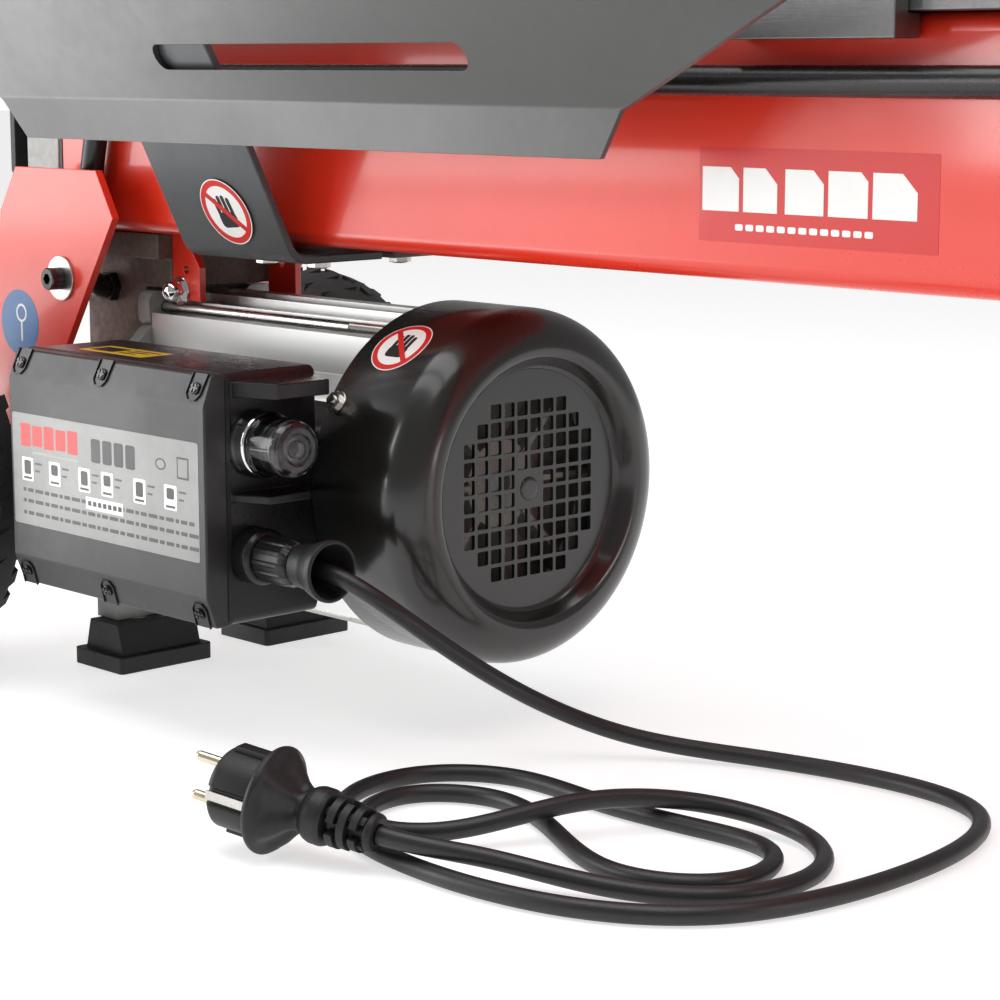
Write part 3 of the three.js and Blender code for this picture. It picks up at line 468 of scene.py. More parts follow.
def lathe(bm: bmesh.types.BMesh, profile: Sequence[Pair], place: Place, segments: int = 64, index: int = 0,
          shape: Callable[[float, float], float] | None = None, closed: bool = False) -> None:
    """Add a body of revolution.

    Args:
        bm: The mesh to add to.
        profile: (distance along the axis, radius) points; a radius of 0 closes an end.
        place: Turns (u, v, w) into a point, where (u, v) is across the axis and w is along it.
        segments: Faces round the body.
        index: Material index.
        shape: Optional factor on the radius, from the angle and the distance along the axis.
        closed: Whether the profile's last point joins its first.
    """
    rings = []
    for w, r in profile:
        if r < 1e-6:
            rings.append([bm.verts.new(place(0.0, 0.0, w))])
            continue
        ring = []
        for i in range(segments):
            t = 2 * math.pi * i / segments
            k = shape(t, w) if shape else 1.0
            ring.append(bm.verts.new(place(r * k * math.cos(t), r * k * math.sin(t), w)))
        rings.append(ring)
    pairs = list(zip(rings, rings[1:]))
    if closed:
        pairs.append((rings[-1], rings[0]))
    for a, b in pairs:
        for i in range(segments):
            j = (i + 1) % segments
            corners = {id(q): q for q in (a[i % len(a)], a[j % len(a)], b[j % len(b)], b[i % len(b)])}
            if len(corners) >= 3:
                bm.faces.new(list(corners.values())).material_index = index


def axis_x(y: float, z: float) -> Place:
    """Return a placement about a line along X."""
    return lambda u, v, w: at(w, y + u, z + v)


def axis_y(x: float, z: float, sign: int = 1) -> Place:
    """Return a placement about a line along Y, measured outwards with the sign."""
    return lambda u, v, w: at(x + u, sign * w, z + v)


def axis_z(x: float, y: float) -> Place:
    """Return a placement about a line along Z."""
    return lambda u, v, w: at(x + u, y + v, w)


def on_line(origin: Vector, direction: Vector) -> Place:
    """Return a placement about any line, in metres, with distances in millimetres."""
    axis = direction.normalized()
    side = axis.cross(Vector((0, 0, 1)) if abs(axis.z) < 0.9 else Vector((1, 0, 0))).normalized()
    up = side.cross(axis)
    return lambda u, v, w: origin + (side * u + up * v + axis * w) * MM


def softened(profile: Sequence[Pair], radius: float, steps: int = 4) -> list[Pair]:
    """Round the inner corners of an open profile by a radius, in millimetres."""
    points = [Vector(p) for p in profile]
    out: list[Pair] = [tuple(points[0])]
    for before, here, after in zip(points, points[1:], points[2:]):
        a, b = before - here, after - here
        reach = min(radius, a.length * 0.45, b.length * 0.45)
        if reach < 1e-4:
            out.append(tuple(here))
            continue
        p, q = here + a.normalized() * reach, here + b.normalized() * reach
        for i in range(steps + 1):
            t = i / steps
            out.append(tuple(p * (1 - t) ** 2 + here * 2 * t * (1 - t) + q * t ** 2))
    out.append(tuple(points[-1]))
    return out


def turned(name: str, profile: Sequence[Pair], place: Place, finish: Finish, body: str = "machine",
           segments: int = 64, smooth: float = 40.0, stands_for: Sequence[str] = (), closed: bool = False,
           radius: float = 0.6) -> bpy.types.Object:
    """Return a turned piece with its corners slightly rounded."""
    bm = bmesh.new()
    line = list(profile) if closed else softened(profile, radius)
    lathe(bm, line, place, segments, closed=closed)
    return mesh_piece(name, bm, finish, body, smooth=smooth, stands_for=stands_for)


def bar_curve(name: str, points: Sequence[Vector], radius: float, finish: Finish, body: str = "machine",
              stands_for: Sequence[str] = (), order: int = 3) -> bpy.types.Object:
    """Return a round bar, pipe or cord along a smooth line of control points, in metres."""
    data = bpy.data.curves.new(name, "CURVE")
    data.dimensions = "3D"
    data.resolution_u = 14
    data.bevel_depth = radius * MM
    data.bevel_resolution = 6
    data.use_fill_caps = True
    line = data.splines.new("NURBS")
    line.points.add(len(points) - 1)
    for point, place in zip(line.points, points):
        point.co = (*place, 1.0)
    line.order_u = order
    line.use_endpoint_u = True
    data.materials.append(finish.material())
    piece = bpy.data.objects.new(name, data)
    bpy.context.scene.collection.objects.link(piece)
    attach(piece, body)
    if stands_for:
        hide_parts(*stands_for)
    return piece


def cut_away(solid: bmesh.types.BMesh, cutter: bmesh.types.BMesh) -> bmesh.types.BMesh:
    """Return the first mesh with the second cut out of it; both are freed."""
    objects = []
    for name, bm in (("solid", solid), ("cutter", cutter)):
        bmesh.ops.recalc_face_normals(bm, faces=bm.faces)
        mesh = bpy.data.meshes.new(name)
        bm.to_mesh(mesh)
        bm.free()
        thing = bpy.data.objects.new(name, mesh)
        bpy.context.scene.collection.objects.link(thing)
        objects.append(thing)
    cut = objects[0].modifiers.new("cut", "BOOLEAN")
    cut.operation, cut.object, cut.solver = "DIFFERENCE", objects[1], "EXACT"
    bpy.context.view_layer.update()
    out = bmesh.new()
    out.from_object(objects[0], bpy.context.evaluated_depsgraph_get())
    for thing in objects:
        mesh = thing.data
        bpy.data.objects.remove(thing)
        bpy.data.meshes.remove(mesh)
    return out


def shifted(place: Place, du: float = 0.0, dv: float = 0.0, dw: float = 0.0) -> Place:
    """Return a placement moved within another one, in millimetres."""
    return lambda u, v, w: place(u + du, v + dv, w + dw)


class Fastener:
    """Screws, nuts and washers, each made on a placement whose w runs out of the surface."""

    @staticmethod
    def washer(bm: bmesh.types.BMesh, place: Place, inner: float, outer: float, thick: float) -> None:
        """Add a flat washer."""
        lathe(bm, [(0, inner), (0, outer), (thick * 0.8, outer), (thick, outer - 0.3), (thick, inner)],
              place, 36,
              closed=True)

    @staticmethod
    def socket_screw(bm: bmesh.types.BMesh, place: Place, radius: float, height: float) -> None:
        """Add a cap head with a hexagon socket."""
        key = radius * 0.52
        lathe(bm, [(0, 0), (0, radius), (height - 0.7, radius), (height, radius - 0.7),
                   (height, key + 0.4)], place, 36)
        hexagon = circle(0, 0, key, 6)
        low = [bm.verts.new(place(u, v, height * 0.35)) for u, v in hexagon]
        high = [bm.verts.new(place(u, v, height)) for u, v in hexagon]
        bm.faces.new(low)
        for k in range(6):
            bm.faces.new((low[k], low[(k + 1) % 6], high[(k + 1) % 6], high[k]))
        ring = [bm.verts.new(place(u, v, height)) for u, v in circle(0, 0, key + 0.4, 36)]
        for k in range(6):
            part = [ring[(k * 6 + i) % 36] for i in range(7)]
            bm.faces.new([*part, high[(k + 1) % 6], high[k]])

    @staticmethod
    def hex_head(bm: bmesh.types.BMesh, place: Place, radius: float, height: float,
                 dome: float = 0.0) -> None:
        """Add a hexagon head or nut, with an optional dome on it."""
        prism(bm, circle(0, 0, radius, 6), 0, height, place)
        if dome:
            r = radius * 0.82
            lathe(bm, [(height - 0.2, r), *[(height + dome * math.sin(t), r * math.cos(t)) for t in
                                            (0.4, 0.8, 1.15, 1.4)], (height + dome, 0)], place, 32)

    @staticmethod
    def cross_screw(bm: bmesh.types.BMesh, place: Place, radius: float, height: float) -> None:
        """Add a low round head with a cross recess shown as four raised quarters."""
        lathe(bm, [(0, 0), (0, radius), (height * 0.45, radius), (height * 0.72, radius * 0.86),
                   (height * 0.75, 0)],
              place, 28)
        slot = radius * 0.14
        for k in range(4):
            quarter = [(slot, slot), *arc(0, 0, radius * 0.80, 15, 75, 5)]
            turn = math.pi / 2 * k
            prism(bm, [spun(p, turn) for p in quarter], height * 0.6, height, place)

    @staticmethod
    def thread(bm: bmesh.types.BMesh, place: Place, radius: float, w0: float, w1: float,
               pitch: float = 1.25) -> None:
        """Add the ridges of a thread between two distances."""
        profile: list[Pair] = [(w0, 0.0)]
        w = w0
        while w < w1 - pitch / 2:
            profile += [(w, radius * 0.84), (w + pitch / 2, radius)]
            w += pitch
        lathe(bm, [*profile, (w, radius * 0.84), (w, 0.0)], place, 24)


# ---------------------------------------------------------------- printed labels
@dataclass
class Label:
    """A flat print made of closed shapes, laid on a surface given by its placement."""

    name: str
    place: Place
    body: str = "machine"
    layer: float = 0.06
    curved: bool = False
    shapes: list[tuple[Sequence[Pair], Finish, int]] = field(default_factory=list)

    def shape(self, outline: Sequence[Pair], finish: Finish, level: int = 0) -> None:
        """Add one closed shape at a level, each higher than the last."""
        self.shapes.append((outline, finish, level))

    def bar(self, u0: float, u1: float, v0: float, v1: float, finish: Finish, level: int = 1,
            r: float = 0.3) -> None:
        """Add a bar with slightly round corners."""
        self.shape(rounded_rect(u0, u1, v0, v1, min(r, (u1 - u0) * 0.45, (v1 - v0) * 0.45), 3), finish, level)

    def ring(self, cu: float, cv: float, outer: float, inner: float, steps: int, finish: Finish) -> None:
        """Add a ring of short flat pieces."""
        far, close = circle(cu, cv, outer, steps), circle(cu, cv, inner, steps)
        for k in range(steps):
            j = (k + 1) % steps
            self.shape([far[k], far[j], close[j], close[k]], finish, 1)

    def build(self) -> bpy.types.Object:
        """Make the label as one piece."""
        finishes: list[Finish] = []
        bm = bmesh.new()
        for outline, finish, level in self.shapes:
            if finish not in finishes:
                finishes.append(finish)
            base = 0.02 + level * self.layer
            place = (lambda u, v, w: Vector((u, v, w))) if self.curved else self.place
            prism(bm, outline, 0.0, base + self.layer, place, finishes.index(finish))
        if self.curved:
            self.wrap(bm)
        return mesh_piece(self.name, bm, finishes, self.body, smooth=30.0 if self.curved else 15.0)

    def wrap(self, bm: bmesh.types.BMesh, step: float = 1.5) -> None:
        """Slice a flat print into narrow strips and bend it onto its surface."""
        reach = max(max(abs(v.co.x), abs(v.co.y)) for v in bm.verts)
        lines = int(reach / step)
        for axis in (Vector((1, 0, 0)), Vector((0, 1, 0))):
            for k in range(-lines, lines + 1):
                bmesh.ops.bisect_plane(bm, geom=[*bm.verts, *bm.edges, *bm.faces], dist=1e-5,
                                       plane_co=axis * (k * step),
                                       plane_no=axis)
        for vert in bm.verts:
            vert.co = self.place(*vert.co)


def flat_place(origin: Vector, right: Vector, up: Vector) -> Place:
    """Return a placement on a flat face; (u, v) in millimetres along right and up, w out of it."""
    r, a = right.normalized(), up.normalized()
    n = r.cross(a).normalized()
    return lambda u, v, w: origin + (r * u + a * v + n * w) * MM


def ring_and_bar_sign(name: str, place: Place, radius: float, curved: bool = False) -> bpy.types.Object:
    """Return a plain round prohibition sign: white disc, red ring, a dark hand-like block and a red bar."""
    sign = Label(name, place, curved=curved)
    sign.shape(circle(0, 0, radius, 48), WHITE_INK, 0)
    sign.ring(0, 0, radius * 0.965, radius * 0.79, 48, RED_INK)
    for column in range(4):
        u = (column - 1.5) * radius * 0.19
        top = radius * (0.50 if column in (1, 2) else 0.42)
        sign.bar(u - radius * 0.075, u + radius * 0.075, -radius * 0.10, top, BLACK_INK, 1, radius * 0.07)
    sign.bar(-radius * 0.38, radius * 0.38, -radius * 0.48, -radius * 0.02, BLACK_INK, 1, radius * 0.14)
    half = radius * 0.085
    turn = math.radians(-45)
    bar = [(-radius * 0.80, -half), (radius * 0.80, -half), (radius * 0.80, half), (-radius * 0.80, half)]
    sign.shape([spun(p, turn) for p in bar], RED_INK, 2)
    return sign.build()


# ---------------------------------------------------------------- studio
@dataclass
class Studio:
    """White sweep, soft lights and the camera."""

    eye: tuple[float, float, float] = (1213.0, -942.4, 357.0)
    heading: tuple[float, float] = (-0.722, 0.692)
    pitch: float = 9.753
    lens: float = 92.16
    floor_size: float = 30.0

    def build(self) -> None:
        """Make the camera, floor, surroundings and lights."""
        self.camera()
        self.floor()
        self.surroundings()
        self.soft_light("overhead_softbox", (-0.1, -0.2, 1.8), (-0.1, 0.0, 0.15), (2.2, 1.6), 32)
        self.soft_light("left_wall", (-2.5, -1.75, 0.80), (-0.6, -0.3, 0.15), (1.7, 1.5), 36)
        self.soft_light("low_left_bounce", (-1.15, -0.68, 0.012), (-1.15, -0.68, 1.0), (0.9, 0.8), 8)
        self.soft_light("front_strip", (-1.35, -2.3, 0.9), (-0.15, -0.1, 0.15), (0.16, 1.5), 10)
        self.soft_light("right_strip", (1.9, 0.25, 0.8), (-0.1, -0.05, 0.15), (0.3, 1.4), 8)

    def camera(self) -> None:
        """Make the camera and set it as the scene's own."""
        data = bpy.data.cameras.new("camera")
        data.lens, data.sensor_width = self.lens, 36.0
        data.clip_start, data.clip_end = 0.02, 100.0
        camera = bpy.data.objects.new("camera", data)
        tilt = math.radians(self.pitch)
        look = Vector((self.heading[0] * math.cos(tilt), self.heading[1] * math.cos(tilt), -math.sin(tilt)))
        camera.location = at(*self.eye)
        camera.rotation_euler = look.to_track_quat("-Z", "Y").to_euler()
        bpy.context.scene.collection.objects.link(camera)
        bpy.context.scene.camera = camera
        bpy.context.scene.view_settings.view_transform = "Standard"

    def floor(self) -> None:
        """Make the plain pale floor."""
        bm = bmesh.new()
        bmesh.ops.create_grid(bm, x_segments=1, y_segments=1, size=self.floor_size / 2)
        mesh = bpy.data.meshes.new("floor")
        bm.to_mesh(mesh)
        bm.free()
        floor = bpy.data.objects.new("floor", mesh)
        bpy.context.scene.collection.objects.link(floor)
        mat = bpy.data.materials.new("white_sweep")
        mat.use_nodes = True
        shader = mat.node_tree.nodes["Principled BSDF"]
        shader.inputs["Base Color"].default_value = (0.62, 0.62, 0.62, 1)
        shader.inputs["Roughness"].default_value = 0.5
        shader.inputs["Specular IOR Level"].default_value = 0.3
        shader.inputs["Emission Color"].default_value = (1, 1, 1, 1)
        shader.inputs["Emission Strength"].default_value = 0.62
        mesh.materials.append(mat)

    def surroundings(self) -> None:
        """Make the white surroundings: bright to look at, softer as a light."""
        world = bpy.data.worlds.new("white_studio")
        bpy.context.scene.world = world
        world.use_nodes = True
        w = Wires(world.node_tree)
        world.node_tree.nodes.clear()
        light = w.add("ShaderNodeBackground", {"Color": (1, 1, 1, 1), "Strength": 0.34})
        seen = w.add("ShaderNodeBackground", {"Color": (1, 1, 1, 1), "Strength": 1.0})
        path = w.add("ShaderNodeLightPath").outputs["Is Camera Ray"]
        both = w.add("ShaderNodeMixShader", {0: path, 1: light.outputs[0], 2: seen.outputs[0]})
        w.add("ShaderNodeOutputWorld", {"Surface": both.outputs[0]})

    @staticmethod
    def soft_light(name: str, place: tuple, aim: tuple, size: Pair, power: float) -> None:
        """Make one rectangular soft light that points at a place."""
        data = bpy.data.lights.new(name, "AREA")
        data.shape, data.size, data.size_y, data.energy = "RECTANGLE", size[0], size[1], power
        lamp = bpy.data.objects.new(name, data)
        lamp.visible_camera = False
        lamp.location = place
        lamp.rotation_euler = (Vector(aim) - Vector(place)).to_track_quat("-Z", "Y").to_euler()
        bpy.context.scene.collection.objects.link(lamp)


# ---------------------------------------------------------------- mains lead
@dataclass
class MainsLead:
    """Cable gland, boot, cord and plug."""

    cord_radius: float = 4.5
    cord_length: float = 1.993
    floor_z: float = 4.8
    gland: tuple[float, float, float] = (225.0, -135.0, 105.0)
    plug_centre: tuple[float, float, float] = (332.0, -240.0, 26.0)
    plug_axis: tuple[float, float, float] = (-52.5, -17.0, 8.2)
    face_radius: float = 19.0
    flange_radius: float = 25.4
    pin_radius: float = 2.4
    pin_offset: float = 9.5

    def route(self) -> list[Vector]:
        """Return the cord's control points in metres, from the boot to the plug's tail."""
        f = self.floor_z
        points = [
            (225.5, -135, 105), (252, -135.5, 105.5), (276, -126, 93), (287, -88, 62), (300, -43, 31),
            (331, -5, 10.5), (373, 26, 5), (423, 42, f), (479, 49, f), (529, 37, f), (553, -12, f),
            (558, -67, f),
            (555, -120, f), (538, -171, f), (497, -204, f), (444, -217, f), (392, -217, f), (338, -206, f),
            (289, -168, f), (283, -110, f), (327, -76, f), (384, -87, f), (441, -83, f), (502, -74, f),
            (523, -134, f), (470, -168, f), (411, -136, f), (350, -105, f), (300, -141, f), (329, -199, f),
            (386, -182, 6.5), (405, -119, 19.5), (436, -65, 13.5), (491, -47, f), (536, -88, f),
            (531, -150, f), (478, -180, 5), (431, -200, 14), (401.5, -217.4, 15.3), (385, -222.8, 17.7),
        ]
        return [at(*p) for p in points]

    def build(self) -> None:
        cord = bar_curve("mains_cord", self.route(), self.cord_radius, CORD_RUBBER,
                         stands_for=["power_cord"], order=4)
        pieces = self.plug()
        self.gland_and_boot()
        tuple(at(self.gland[0] + 0.5, *self.gland[1:]))

    def plug(self) -> list[bpy.types.Object]:
        """Make the earthed plug: face, flange, ribbed tail, pins and earth strips."""
        place = on_line(at(*self.plug_centre), Vector(self.plug_axis))
        r = self.face_radius
        notch = math.radians(13)

        def keyed(t: float, w: float) -> float:
            """Cut a flat way for the earth strip on each side of the face."""
            away = min(abs(math.remainder(t, 2 * math.pi)), abs(math.remainder(t - math.pi, 2 * math.pi)))
            return 0.90 if away < notch else 1.0

        def lobed(t: float, w: float) -> float:
            """Scallop the back of the flange for the fingers."""
            share = max(0.0, min(1.0, (-w - 1.5) / 4)) * max(0.0, min(1.0, (w + 19) / 4))
            return 1.0 + 0.13 * share * (math.cos(5 * t + 0.6) - 0.5)

        bm = bmesh.new()
        lathe(bm, softened([(2.2, 0), (2.2, r), (23.6, r), (26.0, r - 2.4), (26.0, 0)], 1.2), place, 96,
              shape=keyed)
        for sign in (1, -1):
            rib = rounded_rect(-4.2, 4.2, r - 1.0, r + 1.9, 0.8, 3)
            prism(bm, [(u, sign * v) for u, v in rib], 2.0, 21.0, place)
        face = mesh_piece("plug_face", bm, RUBBER, stands_for=["plug"])

        bm = bmesh.new()
        f = self.flange_radius
        lathe(bm, softened([
            (2.4, 0), (2.4, f - 2.6), (1.8, f - 1.0), (0.4, f), (-1.4, f), (-3.0, f - 1.6), (-4.2, 22.0),
            (-8.0, 18.6), (-11.4, 14.8), (-14.0, 12.2), (-16.6, 10.8), (-20.0, 10.6), (-20.0, 0),
        ], 0.8, 3), place, 96, shape=lobed)
        flange = mesh_piece("plug_flange", bm, RUBBER)

        bm = bmesh.new()
        lathe(bm, softened([
            (-19.0, 0), (-19.0, 10.8), (-21.5, 12.6), (-24.0, 13.4), (-29.0, 13.4), (-31.2, 12.4),
            (-32.0, 9.0), (-32.6, 6.6), (-51.5, 6.2), (-52.0, 8.8), (-53.0, 9.4), (-55.2, 9.0), (-56.0, 7.8),
            (-56.0, 4.7), (-54.0, 4.7),
        ], 0.5, 3), place, 48)
        for row in range(3):
            w = -36.2 - 5.6 * row
            outer = 12.0 - 0.75 * row
            for half in range(2):
                start = 90.0 * (row % 2) + 180 * half + 14
                band = [*arc(0, 0, outer, start, start + 152, 16), *arc(0, 0, 5.6, start + 152, start, 16)]
                prism(bm, band, w - 1.9, w + 1.9, place)
        for quarter in range(4):
            start = 90 * quarter + 33
            web = [*arc(0, 0, 9.4, start, start + 24, 4), *arc(0, 0, 5.6, start + 24, start, 4)]
            prism(bm, web, -52.0, -31.6, place)
        tail = mesh_piece("plug_tail", bm, RUBBER)

        bm = bmesh.new()
        for sign in (1, -1):
            o = sign * self.pin_offset
            pin = shifted(place, dv=o)
            p = self.pin_radius
            lathe(bm, softened([(25.6, 0), (25.6, p), (42.6, p), (44.0, p * 0.55), (44.0, 0)], 0.8, 5), pin,
                  32)
        pins = mesh_piece("plug_pins", bm, NICKEL)

        bm = bmesh.new()
        for sign in (1, -1):
            strip = [(sign * (r - 1.9), -2.2), (sign * (r - 1.9), 2.2), (sign * (r - 0.9), 2.2),
                     (sign * (r - 0.9), -2.2)]
            prism(bm, strip, 3.4, 25.6, place)
        strips = mesh_piece("plug_earth_strips", bm, ZINC, bevel=0.2)
        return [face, flange, tail, pins, strips]

    def gland_and_boot(self) -> None:
        """Make the ribbed gland nut and its rubber boot."""
        line = axis_x(*self.gland[1:])

        def ribbed(t: float, w: float) -> float:
            """Raise grip ribs on the nut."""
            return 1.0 + 0.045 * (1 if math.cos(12 * t) > 0.25 else 0)

        bm = bmesh.new()
        lathe(bm, softened([(178, 0), (178, 8.5), (186.4, 8.5), (186.4, 14.8), (196.5, 14.8), (198.6, 13.4),
                            (199, 12.4), (199, 0)], 0.5), line, 64)
        lathe(bm, softened([(199, 0), (199, 11.6), (201, 12.0), (220, 12.0), (224, 10.8), (225, 9.2),
                            (225, 0)], 0.8),
              line, 96, shape=ribbed)
        mesh_piece("gland_nut", bm, BOX_PLASTIC, smooth=30, stands_for=["cable_gland"])
        turned("gland_boot_skin", [
            (225.3, 5.3), (225.3, 10.2), (227, 11.2), (236, 12.2), (241.5, 14.4), (246, 15.8),
            (249.4, 16.0), (250, 15.3), (250, 14.0), (243, 11.5), (236, 7.6), (229, 5.4), (225.3, 5.3),
        ], line, RUBBER, stands_for=["gland_boot"], radius=1.2)


# ---------------------------------------------------------------- beam, wedge and tank ends
@dataclass
class Beam:
    """The box beam that is also the oil tank, with its end block, cover, bed and wedge."""

    corner: float = 9.0
    wall: float = 5.0
    half_width: float = 55.0
    z0: float = 257.0
    z1: float = 377.0
    x0: float = -94.0
    x1: float = 925.0

    def build(self) -> None:
        """Make every piece of the beam."""
        self.tube()
        node_copy("guide_plate", STEEL, bevel=1.2)
        node_copy("tank_cover", BLACK_STEEL, bevel=1.5)
        node_copy("wedge", BLACK_STEEL, bevel=1.2)
        self.end_block()
        self.cover_screws()
        self.decal()

    def tube(self) -> None:
        """Make the round-cornered tube."""
        h, w = self.half_width, self.wall
        bm = bmesh.new()
        tube_prism(bm, rounded_rect(-h, h, self.z0, self.z1, self.corner, 8),
                   rounded_rect(-h + w, h - w, self.z0 + w, self.z1 - w, self.corner - w, 8), self.x0,
                   self.x1, along_x)
        mesh_piece("beam_skin", bm, RED, stands_for=["beam_tank"])

    def end_block(self) -> None:
        """Make the cast end block with its gasket, screws, drain plug, edge strip and dipstick cap."""
        node_copy("tank_end_block", CAST_ALU, bevel=2.0, segments=3)
        bm = bmesh.new()
        tube_prism(bm, rounded_rect(-55.4, 55.4, 259.5, 376.4, 11, 8),
                   rounded_rect(-40, 40, 275, 362, 6, 8), -96.8, -94.2,
                   along_x)
        mesh_piece("tank_gasket", bm, RUBBER)
        bm = bmesh.new()
        for y in (-40, 40):
            for z in (274, 364):
                Fastener.socket_screw(bm, self.outward(-141, y, z), 6.0, 6.0)
        mesh_piece("end_block_screws", bm, ZINC)
        bm = bmesh.new()
        Fastener.hex_head(bm, self.outward(-141, 0, 300), 11, 8, 1.5)
        mesh_piece("drain_plug", bm, ZINC, bevel=0.4)
        bm = bmesh.new()
        prism(bm, rounded_rect(-147, -141.6, 288, 372, 2.6, 5), -57.5, -30, along_y)
        mesh_piece("end_edge_strip", bm, RUBBER, bevel=0.8)
        bm = bmesh.new()
        knob = axis_z(-70, 38)
        lathe(bm, softened([(385.6, 0), (385.6, 9), (391, 9), (391, 12), (402, 12), (404, 10), (404, 0)],
                           0.8), knob, 48,
              shape=lambda t, w: 1.0 + (0.05 * math.cos(10 * t) if w > 391 else 0.0))
        mesh_piece("oil_dipstick_cap", bm, BOX_PLASTIC)

    @staticmethod
    def outward(x: float, y: float, z: float) -> Place:
        """Return a placement that points out of the wheel end."""
        return lambda u, v, w: at(x - w, y + u, z + v)

    def cover_screws(self) -> None:
        """Make the four screws of the cover at the handle end."""
        bm = bmesh.new()
        for y in (-42, 42):
            for z in (270, 364):
                Fastener.hex_head(bm, shifted(axis_x(y, z), dw=936), 6, 3.6)
        mesh_piece("tank_cover_screws", bm, ZINC, bevel=0.3)

    def decal(self) -> None:
        """Make the plain block print on both sides of the beam."""
        for side, sign in SIDES:
            origin = at(488, sign * (self.half_width + 0.02), 296)
            label = Label(f"beam_print_{side}", flat_place(origin, Vector((-sign, 0, 0)), Vector((0, 0, 1))))
            label.bar(-68, 68, -21, 22, RED_PRINT, 0, 0.8)
            for k, (width, cut) in enumerate(((22, 5), (20, 7), (22, 6), (22, 4), (24, 8))):
                u = -66 + 24.6 * k
                label.shape([(u, -7), (u + width, -7), (u + width, 13 - cut), (u + width - cut, 13), (u, 13)],
                            WHITE_INK, 1)
            for k in range(13):
                label.bar(-46 + 6.2 * k, -46 + 6.2 * k + 4.6, -15.5, -12.6, WHITE_INK, 1, 0.8)
            label.build()


# ---------------------------------------------------------------- log trays
@dataclass
class LogTrays:
    """The two folded side trays and the straps that carry them."""

    sign_radius: float = 20.0
    sign_turn: float = 5.0

    def build(self) -> None:
        """Make trays, straps, their screws and the signs on the straps."""
        for side, sign in SIDES:
            node_copy(f"tray_{side}", TRAY_BLACK, bevel=0.8)
            node_copy(f"tray_strap_{side}", STRAP_GREY, bevel=1.0, segments=3)
            self.screws(side, sign)
            self.sign(side, sign)

    def screws(self, side: str, sign: int) -> None:
        """Make the strap's two screws under the beam."""
        bm = bmesh.new()
        for x in (70, 116):
            Fastener.hex_head(bm, (lambda u, v, w, x=x: at(x + u, sign * 30 + v, 248 - w)), 6.5, 4.5, 0.8)
        mesh_piece(f"strap_screws_{side}", bm, ZINC, bevel=0.3)

    def sign(self, side: str, sign: int) -> None:
        """Make the round sign in the middle of the strap's leaning face."""
        lean = Vector((0, sign * (101 - 72.5), 317 - 258)).normalized()
        right = Vector((-sign, 0, 0))
        normal = right.cross(lean).normalized()
        share = (276 - 258) / (317 - 258)
        origin = at(100, sign * (72.5 + share * 28.5), 276) + normal * 0.9 * MM
        turn = math.radians(self.sign_turn)
        along = right * math.cos(turn) + lean * math.sin(turn)
        up = lean * math.cos(turn) - right * math.sin(turn)
        ring_and_bar_sign(f"strap_sign_{side}", flat_place(origin, along, up), self.sign_radius)


